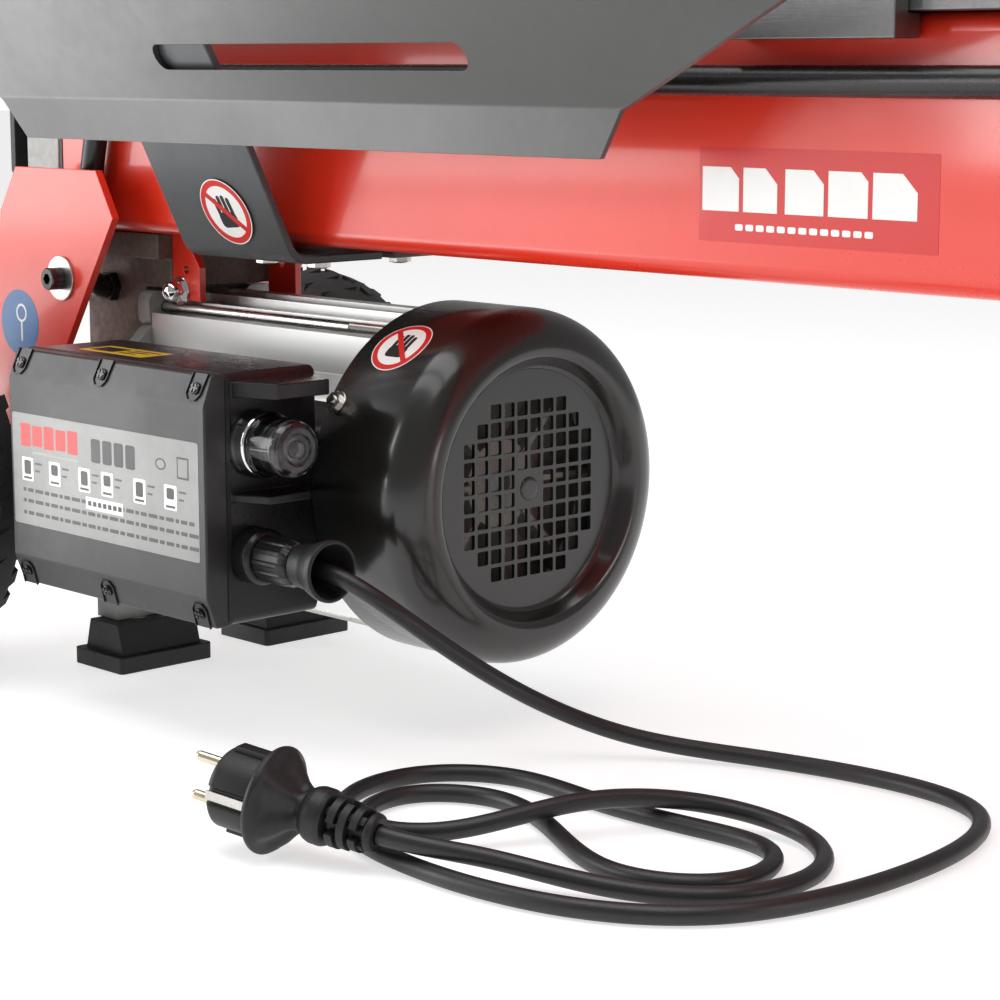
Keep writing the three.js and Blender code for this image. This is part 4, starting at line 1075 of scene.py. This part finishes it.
# ---------------------------------------------------------------- wheels and their brackets
@dataclass
class RunningGear:
    """Wheels on one axle between two red bracket plates."""

    x: float = -120.0
    z: float = 110.0
    radius: float = 110.0
    inner: float = 138.0
    outer: float = 185.0
    rim_radius: float = 66.0
    lugs: int = 36
    bolt: Pair = (-61.8, 229.7)

    def build(self) -> None:
        """Make the plates, wheels, axle and bolts."""
        dress("axle", ZINC)
        for side, sign in SIDES:
            node_copy(f"axle_plate_{side}", RED, bevel=1.0)
            self.tyre(side, sign)
            self.rim(side, sign)
            self.plate_bolt(side, sign)
            self.badge(side, sign)

    def tyre(self, side: str, sign: int) -> None:
        """Make a tyre with a round shoulder and tread lugs."""
        place = axis_y(self.x, self.z, sign)
        r, a, b, rim = self.radius, self.inner, self.outer, self.rim_radius
        bm = bmesh.new()
        profile = [(a + 5, rim), (a + 1.5, rim + 4), (a, rim + 10), (a, r - 17), (a + 2, r - 10),
                   (a + 7, r - 5.5),
                   (a + 14, r - 3.4), ((a + b) / 2, r - 2.9), (b - 14, r - 3.4), (b - 7, r - 5.5),
                   (b - 2, r - 10),
                   (b, r - 17), (b, r - 24), (b + 0.0, rim + 10), (b - 1.5, rim + 4), (b - 5, rim)]
        lathe(bm, softened(profile, 2.0, 3) + [(b - 5, rim)], place, 96)
        step = 2 * math.pi / self.lugs
        for i in range(self.lugs):
            for half in (0, 1):
                t = step * (i + 0.5 * half)
                w0, w1 = ((a + 1.0, (a + b) / 2 - 1.5) if half == 0 else ((a + b) / 2 + 1.5, b - 1.0))
                self.lug(bm, place, t, step * 0.30, w0, w1, half)
        mesh_piece(f"tyre_skin_{side}", bm, TYRE, f"wheel_{side}", smooth=40, stands_for=[f"tyre_{side}"])

    def lug(self, bm: bmesh.types.BMesh, place: Place, t: float, half_turn: float, w0: float, w1: float,
            half: int) -> None:
        """Add one slanted tread block that wraps onto the shoulder."""
        skew = half_turn * (0.8 if half else -0.8)
        corners = []
        for w, shift in ((w0, -skew), (w1, skew)):
            edge = 8.0 if (w == w0) != bool(half) else 0.4
            for turn in (-half_turn * 0.8, half_turn * 0.8):
                angle = t + turn + shift
                top = self.radius - edge
                corners.append([place(q * math.cos(angle), q * math.sin(angle),
                                      w) for q in (self.radius - 14, top)])
        low = [bm.verts.new(corners[k][0]) for k in (0, 1, 3, 2)]
        high = [bm.verts.new(corners[k][1]) for k in (0, 1, 3, 2)]
        bm.faces.new(list(reversed(low)))
        bm.faces.new(high)
        for k in range(4):
            bm.faces.new((low[k], low[(k + 1) % 4], high[(k + 1) % 4], high[k]))

    def rim(self, side: str, sign: int) -> None:
        """Make a dished steel rim with a hub and five round holes shown as raised rings."""
        place = axis_y(self.x, self.z, sign)
        a, b, r = self.inner, self.outer, self.rim_radius - 0.3
        mid = (a + b) / 2
        bm = bmesh.new()
        lathe(bm, [(a + 1, 10.8), (a + 1, 19), (a + 2, 20), (mid - 3, 21), (mid - 3, r - 10),
                   (mid - 5, r - 7), (a + 8, r - 4),
                   (a + 6, r - 2), (a + 5.3, r), (b - 5.3, r), (b - 6, r - 2), (b - 8, r - 4),
                   (mid + 5, r - 7),
                   (mid + 3, r - 10), (mid + 3, 21), (b - 2, 20), (b - 1, 19), (b - 1, 10.8)], place, 72,
                   closed=True)
        for k in range(5):
            t = 2 * math.pi * k / 5 + 0.3
            centre = (42 * math.cos(t), 42 * math.sin(t))
            ring = shifted(place, *centre)
            lathe(bm, [(mid + 2.5, 7.5), (mid + 5, 8), (mid + 5, 9.5), (mid + 2.5, 11)], ring, 28,
                  closed=True)
        mesh_piece(f"rim_skin_{side}", bm, ZINC, f"wheel_{side}", smooth=45, stands_for=[f"wheel_rim_{side}"])

    def plate_bolt(self, side: str, sign: int) -> None:
        """Make the socket screw and the washer that hold the plate."""
        x, z = self.bolt
        place = axis_y(x, z, sign)
        bm = bmesh.new()
        Fastener.washer(bm, shifted(place, dw=80), 6.4, 13.2, 1.8)
        mesh_piece(f"plate_washer_{side}", bm, ZINC)
        bm = bmesh.new()
        Fastener.socket_screw(bm, shifted(place, dw=81.8), 6.6, 9.0)
        mesh_piece(f"plate_bolt_{side}", bm, DARK_ZINC)

    def badge(self, side: str, sign: int) -> None:
        """Make the plain round blue sticker on the plate, with a ring and a bar."""
        origin = at(-108, sign * 80.02, 200)
        label = Label(f"lifting_point_sticker_{side}",
                      flat_place(origin, Vector((-sign, 0, 0)), Vector((0, 0, 1))))
        label.shape(circle(0, 0, 20, 48), BLUE_INK, 0)
        label.ring(2, 6, 5.6, 4.2, 24, WHITE_INK)
        label.bar(1.2, 2.8, -11, 0.6, WHITE_INK, 1)
        label.build()


# ---------------------------------------------------------------- pump and its bracket
@dataclass
class PumpUnit:
    """The cast gear pump under the beam and the red bracket beside it."""

    def build(self) -> None:
        """Make the casting, its bolts, the bracket and the gears."""
        node_copy("pump_body", PUMP_IRON, bevel=2.2, segments=3)
        node_copy("mount_plate", RED, bevel=0.8)
        dress("drive_gear", STEEL)
        dress("driven_gear", STEEL)
        bm = bmesh.new()
        for y, z in ((-28, 104), (28, 104), (-28, 206), (28, 206)):
            Fastener.socket_screw(bm, Beam.outward(-96, y, z), 6.0, 6.0)
        mesh_piece("pump_cover_screws", bm, ZINC)
        bm = bmesh.new()
        for sign in (-1, 1):
            place = axis_y(-1, 223.5, sign)
            Fastener.washer(bm, shifted(place, dw=38.0), 4.2, 8.4, 1.4)
            nut = shifted(place, dw=39.4)
            Fastener.hex_head(bm, nut, 6.8, 3.4)
            lathe(bm, softened([(3.2, 6.2), (5.6, 6.4), (8.4, 5.4), (10.4, 3.2), (11.0, 0)], 1.5), nut, 36)
        mesh_piece("bracket_dome_nuts", bm, CHROME)
        bm = bmesh.new()
        for sign in (-1, 1):
            Fastener.hex_head(bm, shifted(axis_y(-70, 222, sign), dw=38.1), 9.6, 5.5)
        mesh_piece("pipe_union_nuts", bm, DARK_ZINC, bevel=0.4)


# ---------------------------------------------------------------- electric motor
@dataclass
class Motor:
    """Finned motor with end shields, fan, pressed cover, tie bolts and rubber feet."""

    z: float = 132.0
    x0: float = -19.0
    x1: float = 185.7
    cover_x0: float = 186.0
    cover_x1: float = 263.0
    cover_radius: float = 96.0
    rim: float = 22.0
    wall: float = 2.2
    grille_radius: float = 64.0
    recess: float = 11.0
    pitch: float = 9.65
    hole: float = 7.7
    rows: tuple[int, ...] = (3, 4, 5, 5, 5, 5, 5, 5, 4, 3)
    tie_y: float = 36.0
    tie_dz: float = 81.0

    def build(self) -> None:
        """Make the whole motor."""
        node_copy("motor_housing", MOTOR_ALU, bevel=0.7, segments=2)
        node_copy("drive_end_shield", CAST_ALU, bevel=1.6, segments=3)
        node_copy("rear_end_shield", CAST_ALU, bevel=0.8)
        dress("stator", WINDING)
        dress("rotor_shaft", STEEL)
        node_copy("cooling_fan", FAN_PLASTIC, body="rotor", bevel=0.5)
        self.cover()
        self.grille()
        self.tie_bolts()
        self.cover_screws()
        self.feet()
        self.cover_sign()

    def cover(self) -> None:
        """Make the pressed cover with its rolled edge, round rim and raised ring."""
        r, rim, w = self.cover_radius, self.rim, self.wall
        cx, cr = self.cover_x1 - rim, r - rim
        step = self.grille_radius
        outer = [(self.cover_x0 + 1.2, r), *[(x, y) for x, y in reversed(arc(cx, cr, rim, 0, 90, 16))]]
        floor = self.cover_x1 - self.recess
        face = softened([(self.cover_x1, cr), (self.cover_x1 - 1.4, step + 6.8),
                         (self.cover_x1 - 6.0, step + 4.2),
                         (floor + 1.6, step + 2.6), (floor, step + 0.4), (floor, step)], 3.0, 6)[1:]
        inner = [(floor - w, step), (floor - w, step + 1.4), (floor - 0.4, step + 4.2),
                 (self.cover_x1 - 6.6, step + 6.4),
                 (self.cover_x1 - 3.8, step + 8.8), *arc(cx, cr, rim - w, 0, 90, 16),
                 (self.cover_x0 + 1.2, r - w), (self.cover_x0, r - w + 0.8), (self.cover_x0, r - 0.8)]
        bm = bmesh.new()
        lathe(bm, [*outer, *face, *inner], axis_x(0, self.z), 128, closed=True)
        mesh_piece("fan_cover_skin", bm, COVER_BLACK, smooth=40, stands_for=["fan_cover"])

    def grille(self) -> None:
        """Make the recessed disc with its square holes."""
        x1 = self.cover_x1 - self.recess
        plate, holes = bmesh.new(), bmesh.new()
        lathe(plate, [(x1 - self.wall, 0), (x1 - self.wall, self.grille_radius + 0.2),
                      (x1, self.grille_radius + 0.2), (x1, 0)], axis_x(0, self.z), 128)
        h = self.hole / 2
        middle = (len(self.rows) - 1) / 2
        for row, half in enumerate(self.rows):
            v = (row - middle) * self.pitch
            for column in range(-half, half):
                u = (column + 0.5) * self.pitch
                if abs(u) < self.pitch and abs(v) < self.pitch:
                    continue
                prism(holes, rounded_rect(u - h, u + h, v + self.z - h, v + self.z + h, 0.9, 2), x1 - 6,
                      x1 + 4, along_x)
        bm = cut_away(plate, holes)
        mesh_piece("fan_grille", bm, COVER_BLACK, bevel=0.35, smooth=30)
        turned("grille_boss", [(x1 - 0.2, 0), (x1 - 0.2, 6.5), (x1 + 0.7, 6.0), (x1 + 1.0, 4.5),
                               (x1 + 1.0, 0)],
               axis_x(0, self.z), COVER_BLACK)

    def tie_bolts(self) -> None:
        """Make the four long bolts with hexagon heads and a thread at the cover end."""
        for name, y, dz in (("upper_near", -1, 1), ("upper_far", 1, 1), ("lower_near", -1, -1),
                            ("lower_far", 1, -1)):
            line = axis_x(y * self.tie_y, self.z + dz * self.tie_dz)
            bm = bmesh.new()
            prism(bm, circle(0, 0, 5.4, 6), -35.8, -31.2, line)
            lathe(bm, [(-31.4, 0), (-31.4, 2.9), (150, 2.9), (150, 0)], line, 28)
            Fastener.thread(bm, line, 3.0, 150, 196)
            mesh_piece(f"tie_bolt_{name}_skin", bm, ZINC, stands_for=[f"tie_bolt_{name}"])

    def cover_screws(self) -> None:
        """Make the three radial screws of the cover with their washers."""
        bm = bmesh.new()
        for turn in (150, 30, 270):
            t = math.radians(turn)
            out = Vector((0, math.cos(t), math.sin(t)))
            spot = at(193.5, self.cover_radius * out.y, self.z + self.cover_radius * out.z)
            place = on_line(spot, out)
            Fastener.washer(bm, place, 2.6, 6.4, 1.2)
            top = shifted(place, dw=1.2)
            Fastener.hex_head(bm, top, 4.6, 3.2)
            lathe(bm, [(3.0, 2.6), (4.4, 2.4), (4.6, 0)], top, 24)
        mesh_piece("cover_screws", bm, ZINC)

    def feet(self) -> None:
        """Make the two tapered rubber feet and the screws through the foot lugs."""
        for side in ("near", "far"):
            node_copy(f"rubber_foot_{side}", RUBBER, bevel=1.6, segments=3)
        bm = bmesh.new()
        for y in (-60, 60):
            Fastener.hex_head(bm, shifted(axis_z(-24, y), dw=24), 7.5, 4.2)
        mesh_piece("foot_screws", bm, ZINC, bevel=0.4)

    def cover_sign(self) -> None:
        """Make the round sign that wraps the cover's skirt."""
        centre_angle, centre_x, r = math.radians(126), 214.0, self.cover_radius

        def wrap(u: float, v: float, w: float) -> Vector:
            """Follow the skirt's curve."""
            t = centre_angle - v / r
            x = centre_x + u
            reach = r
            start = self.cover_x1 - self.rim
            if x > start:
                reach = r - self.rim + math.sqrt(self.rim ** 2 - (x - start) ** 2)
            return at(x, (reach + w) * math.cos(t), self.z + (reach + w) * math.sin(t))

        ring_and_bar_sign("cover_sign", wrap, 18.0, curved=True)


# ---------------------------------------------------------------- terminal box and start button
@dataclass
class TerminalBox:
    """The switch box on the motor's side with its lid, rating label and start button."""

    x0: float = 9.0
    x1: float = 186.0
    z0: float = 69.0
    z1: float = 200.0
    lid_y: float = -165.0
    band: float = 16.0
    button: Pair = (-132.0, 163.0)

    def build(self) -> None:
        """Make box, lid, gasket, screws, labels and button."""
        node_copy("terminal_box", BOX_PLASTIC, bevel=1.4, segments=3)
        dress("run_capacitor", BOX_PLASTIC)
        node_copy("terminal_lid", LID_PLASTIC, bevel=1.2, segments=3, smooth=12)
        self.gasket()
        self.lid_screws()
        self.rating_label()
        self.warning_sticker()
        self.start_button()

    def gasket(self) -> None:
        """Make the thin black seal between box and lid."""
        bm = bmesh.new()
        g = 0.5
        tube_prism(bm, rounded_rect(self.x0 - g, self.x1 + g, self.z0 - g, self.z1 + g, 4.5),
                   rounded_rect(self.x0 + 2.5, self.x1 - 2.5, self.z0 + 2.5, self.z1 - 2.5, 3), -151.6,
                   -149.0, along_y)
        mesh_piece("lid_seal", bm, RUBBER)

    def lid_screws(self) -> None:
        """Make six screws on the lid's sloped bands, each on a slanted patch of the box's darker plastic with
        a thin raised rim; the patch is painted shade standing in for a recessed pocket.
        """
        pocket_shade, screws = bmesh.new(), bmesh.new()
        for up in (1, -1):
            z = self.z1 - 7.2 if up > 0 else self.z0 + 7.2
            y = self.lid_y + 6 - 6 * 7.2 / self.band - 0.1
            slope = Vector((0, 6.0, up * self.band)).normalized()
            right = Vector((1, 0, 0)) * up
            for x in (self.x0 + 9, (self.x0 + self.x1) / 2 - 3, self.x1 - 10):
                place = flat_place(at(x, y, z), right, slope)
                outline = [(-4.6, 8.2), (6.8, 8.2), (4.6, -3.0), (1.6, -6.0), (-4.0, -6.0), (-6.4, -3.0)]
                # painted shade: this dark slab, barely proud of the lid, stands in for the shadow inside a
                # recessed screw pocket
                prism(pocket_shade, outline, -0.5, 0.12, place)
                rim = [(-4.6, 8.2), (-6.4, -3.0), (-4.0, -6.0), (1.6, -6.0), (4.6, -3.0), (6.8, 8.2)]
                for (a, b), (c, d) in zip(rim, rim[1:]):
                    n = Vector((d - b, a - c)).normalized() * 0.55
                    prism(pocket_shade, [(a, b), (c, d), (c + n.x, d + n.y), (a + n.x, b + n.y)], -0.4, 0.9, place)
                Fastener.cross_screw(screws, place, 3.2, 2.2)
        mesh_piece("screw_pockets", pocket_shade, BOX_PLASTIC, smooth=15)
        mesh_piece("lid_screws_set", screws, DARK_ZINC)

    def rating_label(self) -> None:
        """Make the grey rating label with plain blocks and rules in place of print."""
        origin = at((self.x0 + self.x1) / 2, self.lid_y - 0.02, 134.5)
        base = flat_place(origin, Vector((1, 0, 0)), Vector((0, 0, 1)))
        squash = 31.0 / 46.0
        label = Label("rating_label", (lambda u, v, w: base(u - 1.0, v * squash, w)), layer=0.04)
        label.bar(-85, 84, -46, 46, LABEL_GREY, 0, 2.0)
        for k in range(5):
            label.bar(-77 + 11.2 * k, -77 + 11.2 * k + 9.6, 19 + (k % 2), 38 - (k % 2), RED_INK, 1, 1.2)
        label.bar(-66, -22, 13.5, 15.6, LABEL_PALE, 1)
        for k in range(4):
            label.bar(-10 + 10.4 * k, -10 + 10.4 * k + 8.4, 16, 35, BLACK_INK, 1, 1.8)
        for k, u in enumerate((-71, -45, -17, 4, 33, 60)):
            label.bar(u - 5.4, u + 5.4, -9.5, 10, WHITE_INK, 1, 1.0)
            label.bar(u - 3.2, u + 3.2, -1.0 if k % 2 else -4.0, 7.6, BLACK_INK, 2, 1.4)
            label.bar(u - 4.0, u + 4.0, -7.8, -6.0, BLACK_INK, 2)
            for line in range(2):
                label.bar(u + 7.2, u + 13.5 - 2 * line, 5 - 6 * line, 6.6 - 6 * line, LABEL_DARK, 1)
        label.shape(circle(52, 25, 4.6, 24), BLACK_INK, 1)
        label.shape(circle(52, 25, 3.4, 24), LABEL_GREY, 2)
        label.bar(66, 76, 16, 33, BLACK_INK, 1, 0.6)
        label.bar(67, 75, 17.6, 31.4, LABEL_GREY, 2, 0.6)
        for row, (stop, v) in enumerate(((76, -17), (80, -26), (80, -36))):
            u, k = -76.0, row
            while u < stop:
                width = 3.0 + 2.4 * ((k * 7 + row * 3) % 5) / 2
                label.bar(u, min(u + width, stop + 4), v - 1.5, v + 1.5, LABEL_DARK, 1, 0.3)
                u += width + 1.6
                k += 1
        label.bar(-16, 18, -22.5, -12.5, WHITE_INK, 2, 0.5)
        for k in range(7):
            label.bar(-14 + 4.6 * k, -14 + 4.6 * k + 3.2, -19.4, -15.6, BLACK_INK, 3, 0.3)
        label.build()

    def warning_sticker(self) -> None:
        """Make the plain yellow sticker on top of the box."""
        origin = at(62, -126, self.z1 + 0.02)
        label = Label("top_sticker", flat_place(origin, Vector((1, 0, 0)), Vector((0, 1, 0))))
        label.bar(-24, 34, -12, 10, YELLOW_INK, 0, 1.0)
        label.bar(-20, 2, -8, 6, BLACK_INK, 1, 1.0)
        for k in range(3):
            label.bar(6, 30 - 5 * k, 3 - 5 * k, 5.4 - 5 * k, BLACK_INK, 1)
        label.build()

    def start_button(self) -> None:
        """Make the collar, the button with its rings and the clear splash cap."""
        y, z = self.button
        line = axis_x(y, z)
        turned("button_collar_skin", [
            (186.3, 14.2), (186.3, 18.0), (188.5, 18.0), (190.5, 17.6), (196.0, 17.4), (197.0, 16.8),
            (197.0, 14.6), (196.0, 14.2), (186.3, 14.2),
        ], line, CHROME, stands_for=["button_collar"], radius=0.5)
        bm = bmesh.new()
        lathe(bm, softened([(176, 0), (176, 13.2), (206, 13.2), (208, 12.6), (208, 9.8), (206.6, 9.2),
                            (206.6, 7.0), (208.6, 6.4), (208.6, 0)], 0.6), line, 64)
        mesh_piece("start_button_skin", bm, BUTTON_BLACK, "button", stands_for=["start_button"])
        bm = bmesh.new()
        lathe(bm, softened([(209.0, 3.4), (209.0, 5.6), (209.6, 5.6), (209.6, 3.4), (209.0, 3.4)], 0.1, 2),
              line, 48)
        mesh_piece("start_button_mark", bm, LABEL_PALE, "button")
        bm = bmesh.new()
        cap = [(197.2, 14.6), (197.2, 16.9), (199.5, 16.9), (200.5, 15.6), (216.0, 14.8), (219.6, 13.8),
               (221.0, 11.4),
               (221.0, 8.4), (219.6, 7.8), (219.6, 5.0), (221.0, 4.4), (221.0, 0), (219.2, 0), (219.2, 3.6),
               (217.6, 4.6), (217.6, 11.4), (215.4, 13.0), (198.0, 13.6)]
        lathe(bm, softened(cap, 0.5, 3), line, 72)
        cap_piece = mesh_piece("button_splash_cap", bm, BUTTON_BLACK, smooth=40)
        cap_piece.data.materials.clear()
        cap_piece.data.materials.append(clear_cap_material())


# ---------------------------------------------------------------- cylinder, pusher and valve
@dataclass
class Ram:
    """The hydraulic cylinder on its saddle and the pusher that it drives along the bed."""

    z: float = 435.0
    x0: float = 492.0
    x1: float = 915.0
    radius: float = 38.0
    bore: float = 32.0
    rod: float = 16.0

    def build(self) -> None:
        """Make the cylinder and the pusher."""
        line = axis_x(0, self.z)
        turned("cylinder_skin", [(self.x0, self.bore), (self.x0, self.radius), (self.x1, self.radius),
                                 (self.x1, self.bore)],
               line, BLACK_STEEL, stands_for=["cylinder_barrel"], segments=96)
        bm = bmesh.new()
        lathe(bm, [(478, 16.5), (478, 35), (479, 36), (481, 41.2), (483, 42), (485, 42), (485.6, 41.2),
                   (486.4, 41.2),
                   (487, 42), (491, 42), (491.7, 41.3), (491.7, 31.7), (508, 31.7), (508, 16.5)], line, 96,
                   closed=True)
        mesh_piece("cylinder_head_skin", bm, BLACK_STEEL, stands_for=["cylinder_head"])
        turned("rod_seal", [(475.2, 16.3), (475.2, 20.5), (477.9, 22), (477.9, 16.3)], line, RUBBER)
        turned("cylinder_cap_skin", [(911, 0), (911, 31.7), (915.3, 31.7), (915.3, 42), (929, 42),
                                     (933, 36), (933, 0)],
               line, BLACK_STEEL, stands_for=["cylinder_cap"], segments=96)
        node_copy("cylinder_saddle", BLACK_STEEL, bevel=1.5)
        dress("piston", STEEL)
        turned("piston_rod_skin", [(470.3, 0), (470.3, self.rod), (884.7, self.rod), (884.7, 0)], line,
               CHROME, "ram",
               stands_for=["piston_rod"], segments=96)
        node_copy("pusher", RED, "ram", bevel=1.5)
        for side, sign in SIDES:
            node_copy(f"pusher_gib_{side}", STEEL, "ram", bevel=0.8)
            self.gib_screws(side, sign)
        bm = bmesh.new()
        for x in (508, 898):
            lathe(bm, softened([(self.z + 37, 0), (self.z + 37, 11), (self.z + 44, 11), (self.z + 44, 9),
                                (self.z + 50, 9), (self.z + 50, 0)], 0.6), axis_z(x, 0), 48)
        mesh_piece("cylinder_ports", bm, BLACK_STEEL)
        self.lines()

    def gib_screws(self, side: str, sign: int) -> None:
        """Make the two screws of one gib."""
        bm = bmesh.new()
        for x in (462, 525):
            Fastener.socket_screw(bm, shifted(axis_y(x, 388, sign), dw=75), 5.0, 5.0)
        mesh_piece(f"gib_screws_{side}", bm, ZINC, "ram")

    def lines(self) -> None:
        """Make the two steel oil lines between the valve and the cylinder's ports."""
        lines = {
            "front_oil_line": [(690, -84, 372), (689, -84, 390), (680, -80, 404), (664, -72, 430),
                               (640, -58, 462),
                               (600, -34, 482), (550, -12, 489), (508, 0, 494), (508, 0, 484)],
            "rear_oil_line": [(726, -84, 372), (727, -84, 390), (736, -80, 404), (752, -72, 430),
                              (776, -58, 462),
                              (815, -34, 482), (860, -12, 489), (898, 0, 494), (898, 0, 484)],
        }
        for name, points in lines.items():
            bar_curve(name, [at(*p) for p in points], 4.5, ZINC)
        bm = bmesh.new()
        for x in (690, 726):
            Fastener.hex_head(bm, shifted(axis_z(x, -84), dw=372), 8.5, 10)
        for x in (508, 898):
            Fastener.hex_head(bm, shifted(axis_z(x, 0), dw=self.z + 49.5), 8.5, 7)
        mesh_piece("oil_line_nuts", bm, ZINC, bevel=0.5)


@dataclass
class ValveGear:
    """The control valve with its spool, sprung lever and the pressure pipe along the beam."""

    lever_x: float = 705.0
    lever_y: float = -84.0
    pivot_z: float = 386.0
    top: float = 505.0

    def build(self) -> None:
        """Make the valve, lever and pipe."""
        node_copy("valve_block", VALVE_IRON, bevel=2.0, segments=3)
        node_copy("control_lever", BLACK_STEEL, "lever", bevel=0.8)
        dress("valve_spool", STEEL)
        knob = softened([(-29.7, 0), (-29.7, 8.0), (-27, 10.5), (-20, 13.6), (-10, 15.0), (-3, 13.4),
                         (1.0, 9.0), (2.0, 5.0), (2.0, 0)], 3.0, 5)
        bm = bmesh.new()
        place = axis_z(self.lever_x, self.lever_y)
        lathe(bm, knob, shifted(place, dw=self.top), 64)
        mesh_piece("lever_knob_skin", bm, KNOB_RED, "lever", stands_for=["lever_knob"])
        bm = bmesh.new()
        for x in (678, 732):
            Fastener.socket_screw(bm, shifted(axis_y(x, 320, -1), dw=112), 5.0, 5.0)
        mesh_piece("valve_screws", bm, ZINC)
        bm = bmesh.new()
        for sign in (-1, 1):
            place_pin = axis_y(self.lever_x, self.pivot_z, sign)
            y = 84 + 15 if sign < 0 else -(84 - 15)
            Fastener.hex_head(bm, shifted(place_pin, dw=y), 5.4, 3.4)
        mesh_piece("lever_pin_nuts", bm, ZINC, "lever", bevel=0.3)
        self.pipe()

    def pipe(self) -> None:
        """Make the black pressure pipe and its union."""
        points = [(-70, -38.4, 222), (-70, -47, 222), (-69, -60, 229), (-64, -66, 246), (-58, -64, 262),
                  (-52, -64, 290),
                  (-44, -64, 322), (-28, -64, 342), (0, -64, 348), (40, -64, 348), (609.7, -64, 348),
                  (669.7, -64, 348)]
        bar_curve("pressure_pipe_skin", [at(*p) for p in points], 7.0, PIPE_BLACK,
                  stands_for=["pressure_pipe"])
        bm = bmesh.new()
        Fastener.hex_head(bm, shifted(axis_x(-64, 348), dw=655), 10.5, 14)
        mesh_piece("pipe_union", bm, ZINC, bevel=0.5)


# ---------------------------------------------------------------- legs and handle
@dataclass
class Stand:
    """The legs and the transport handle at the far end from the wheels."""

    handle_x: float = 885.0
    handle_y: float = 66.3
    handle_top: float = 545.0
    handle_radius: float = 11.0

    def build(self) -> None:
        """Make legs, cross plate and handle."""
        node_copy("leg_crossplate", RED, bevel=1.0)
        for side, sign in SIDES:
            node_copy(f"leg_{side}", RED, bevel=1.5)
            bm = bmesh.new()
            for z in (222, 238):
                Fastener.hex_head(bm, shifted(axis_x(sign * 55, z), dw=820), 6.5, 4.5)
            mesh_piece(f"leg_screws_{side}", bm, ZINC, bevel=0.4)
            bm = bmesh.new()
            for z in (312, 352):
                place = axis_y(self.handle_x, z, sign)
                Fastener.washer(bm, shifted(place, dw=77), 4.4, 9.0, 1.6)
                Fastener.hex_head(bm, shifted(place, dw=78.4), 7.0, 5.0, 0.8)
            mesh_piece(f"handle_screws_{side}", bm, ZINC, bevel=0.3)
        self.handle()

    def handle(self) -> None:
        """Make the bent tube and its rubber grip."""
        x, y, top = self.handle_x, self.handle_y, self.handle_top
        points = [(x, -y, 300), (x, -y, 400), (x, -y, top - 46), (x, -y, top - 18), (x, -y + 14, top + 0.5),
                  (x, -y + 44, top), (x, y - 44, top), (x, y - 14, top + 0.5), (x, y, top - 18),
                  (x, y, top - 46), (x, y, 400), (x, y, 300)]
        bar_curve("handle_tube", [at(*p) for p in points], self.handle_radius, BLACK_STEEL,
                  stands_for=["transport_handle"])
        bm = bmesh.new()
        place = (lambda u, v, w: at(x + u, w, top + v))
        lathe(bm, softened([(-24, 10.8), (-24, 11.5), (24, 11.5), (24, 10.8)], 0.3), place, 64,
              shape=lambda t, w: 1.0 - (0.012 if math.sin(w * 1.6) > 0.4 else 0.0))
        mesh_piece("handle_grip", bm, RUBBER)


def main() -> None:
    """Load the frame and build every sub-assembly."""
    logging.basicConfig(level=logging.INFO, format="%(name)s %(message)s")
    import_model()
    for part in (Studio(), MainsLead(), Beam(), LogTrays(), RunningGear(), PumpUnit(), Motor(),
                 TerminalBox(), Ram(),
                 ValveGear(), Stand()):
        part.build()
        log.info("built %s", type(part).__name__)


if __name__ == "__main__":
    main()
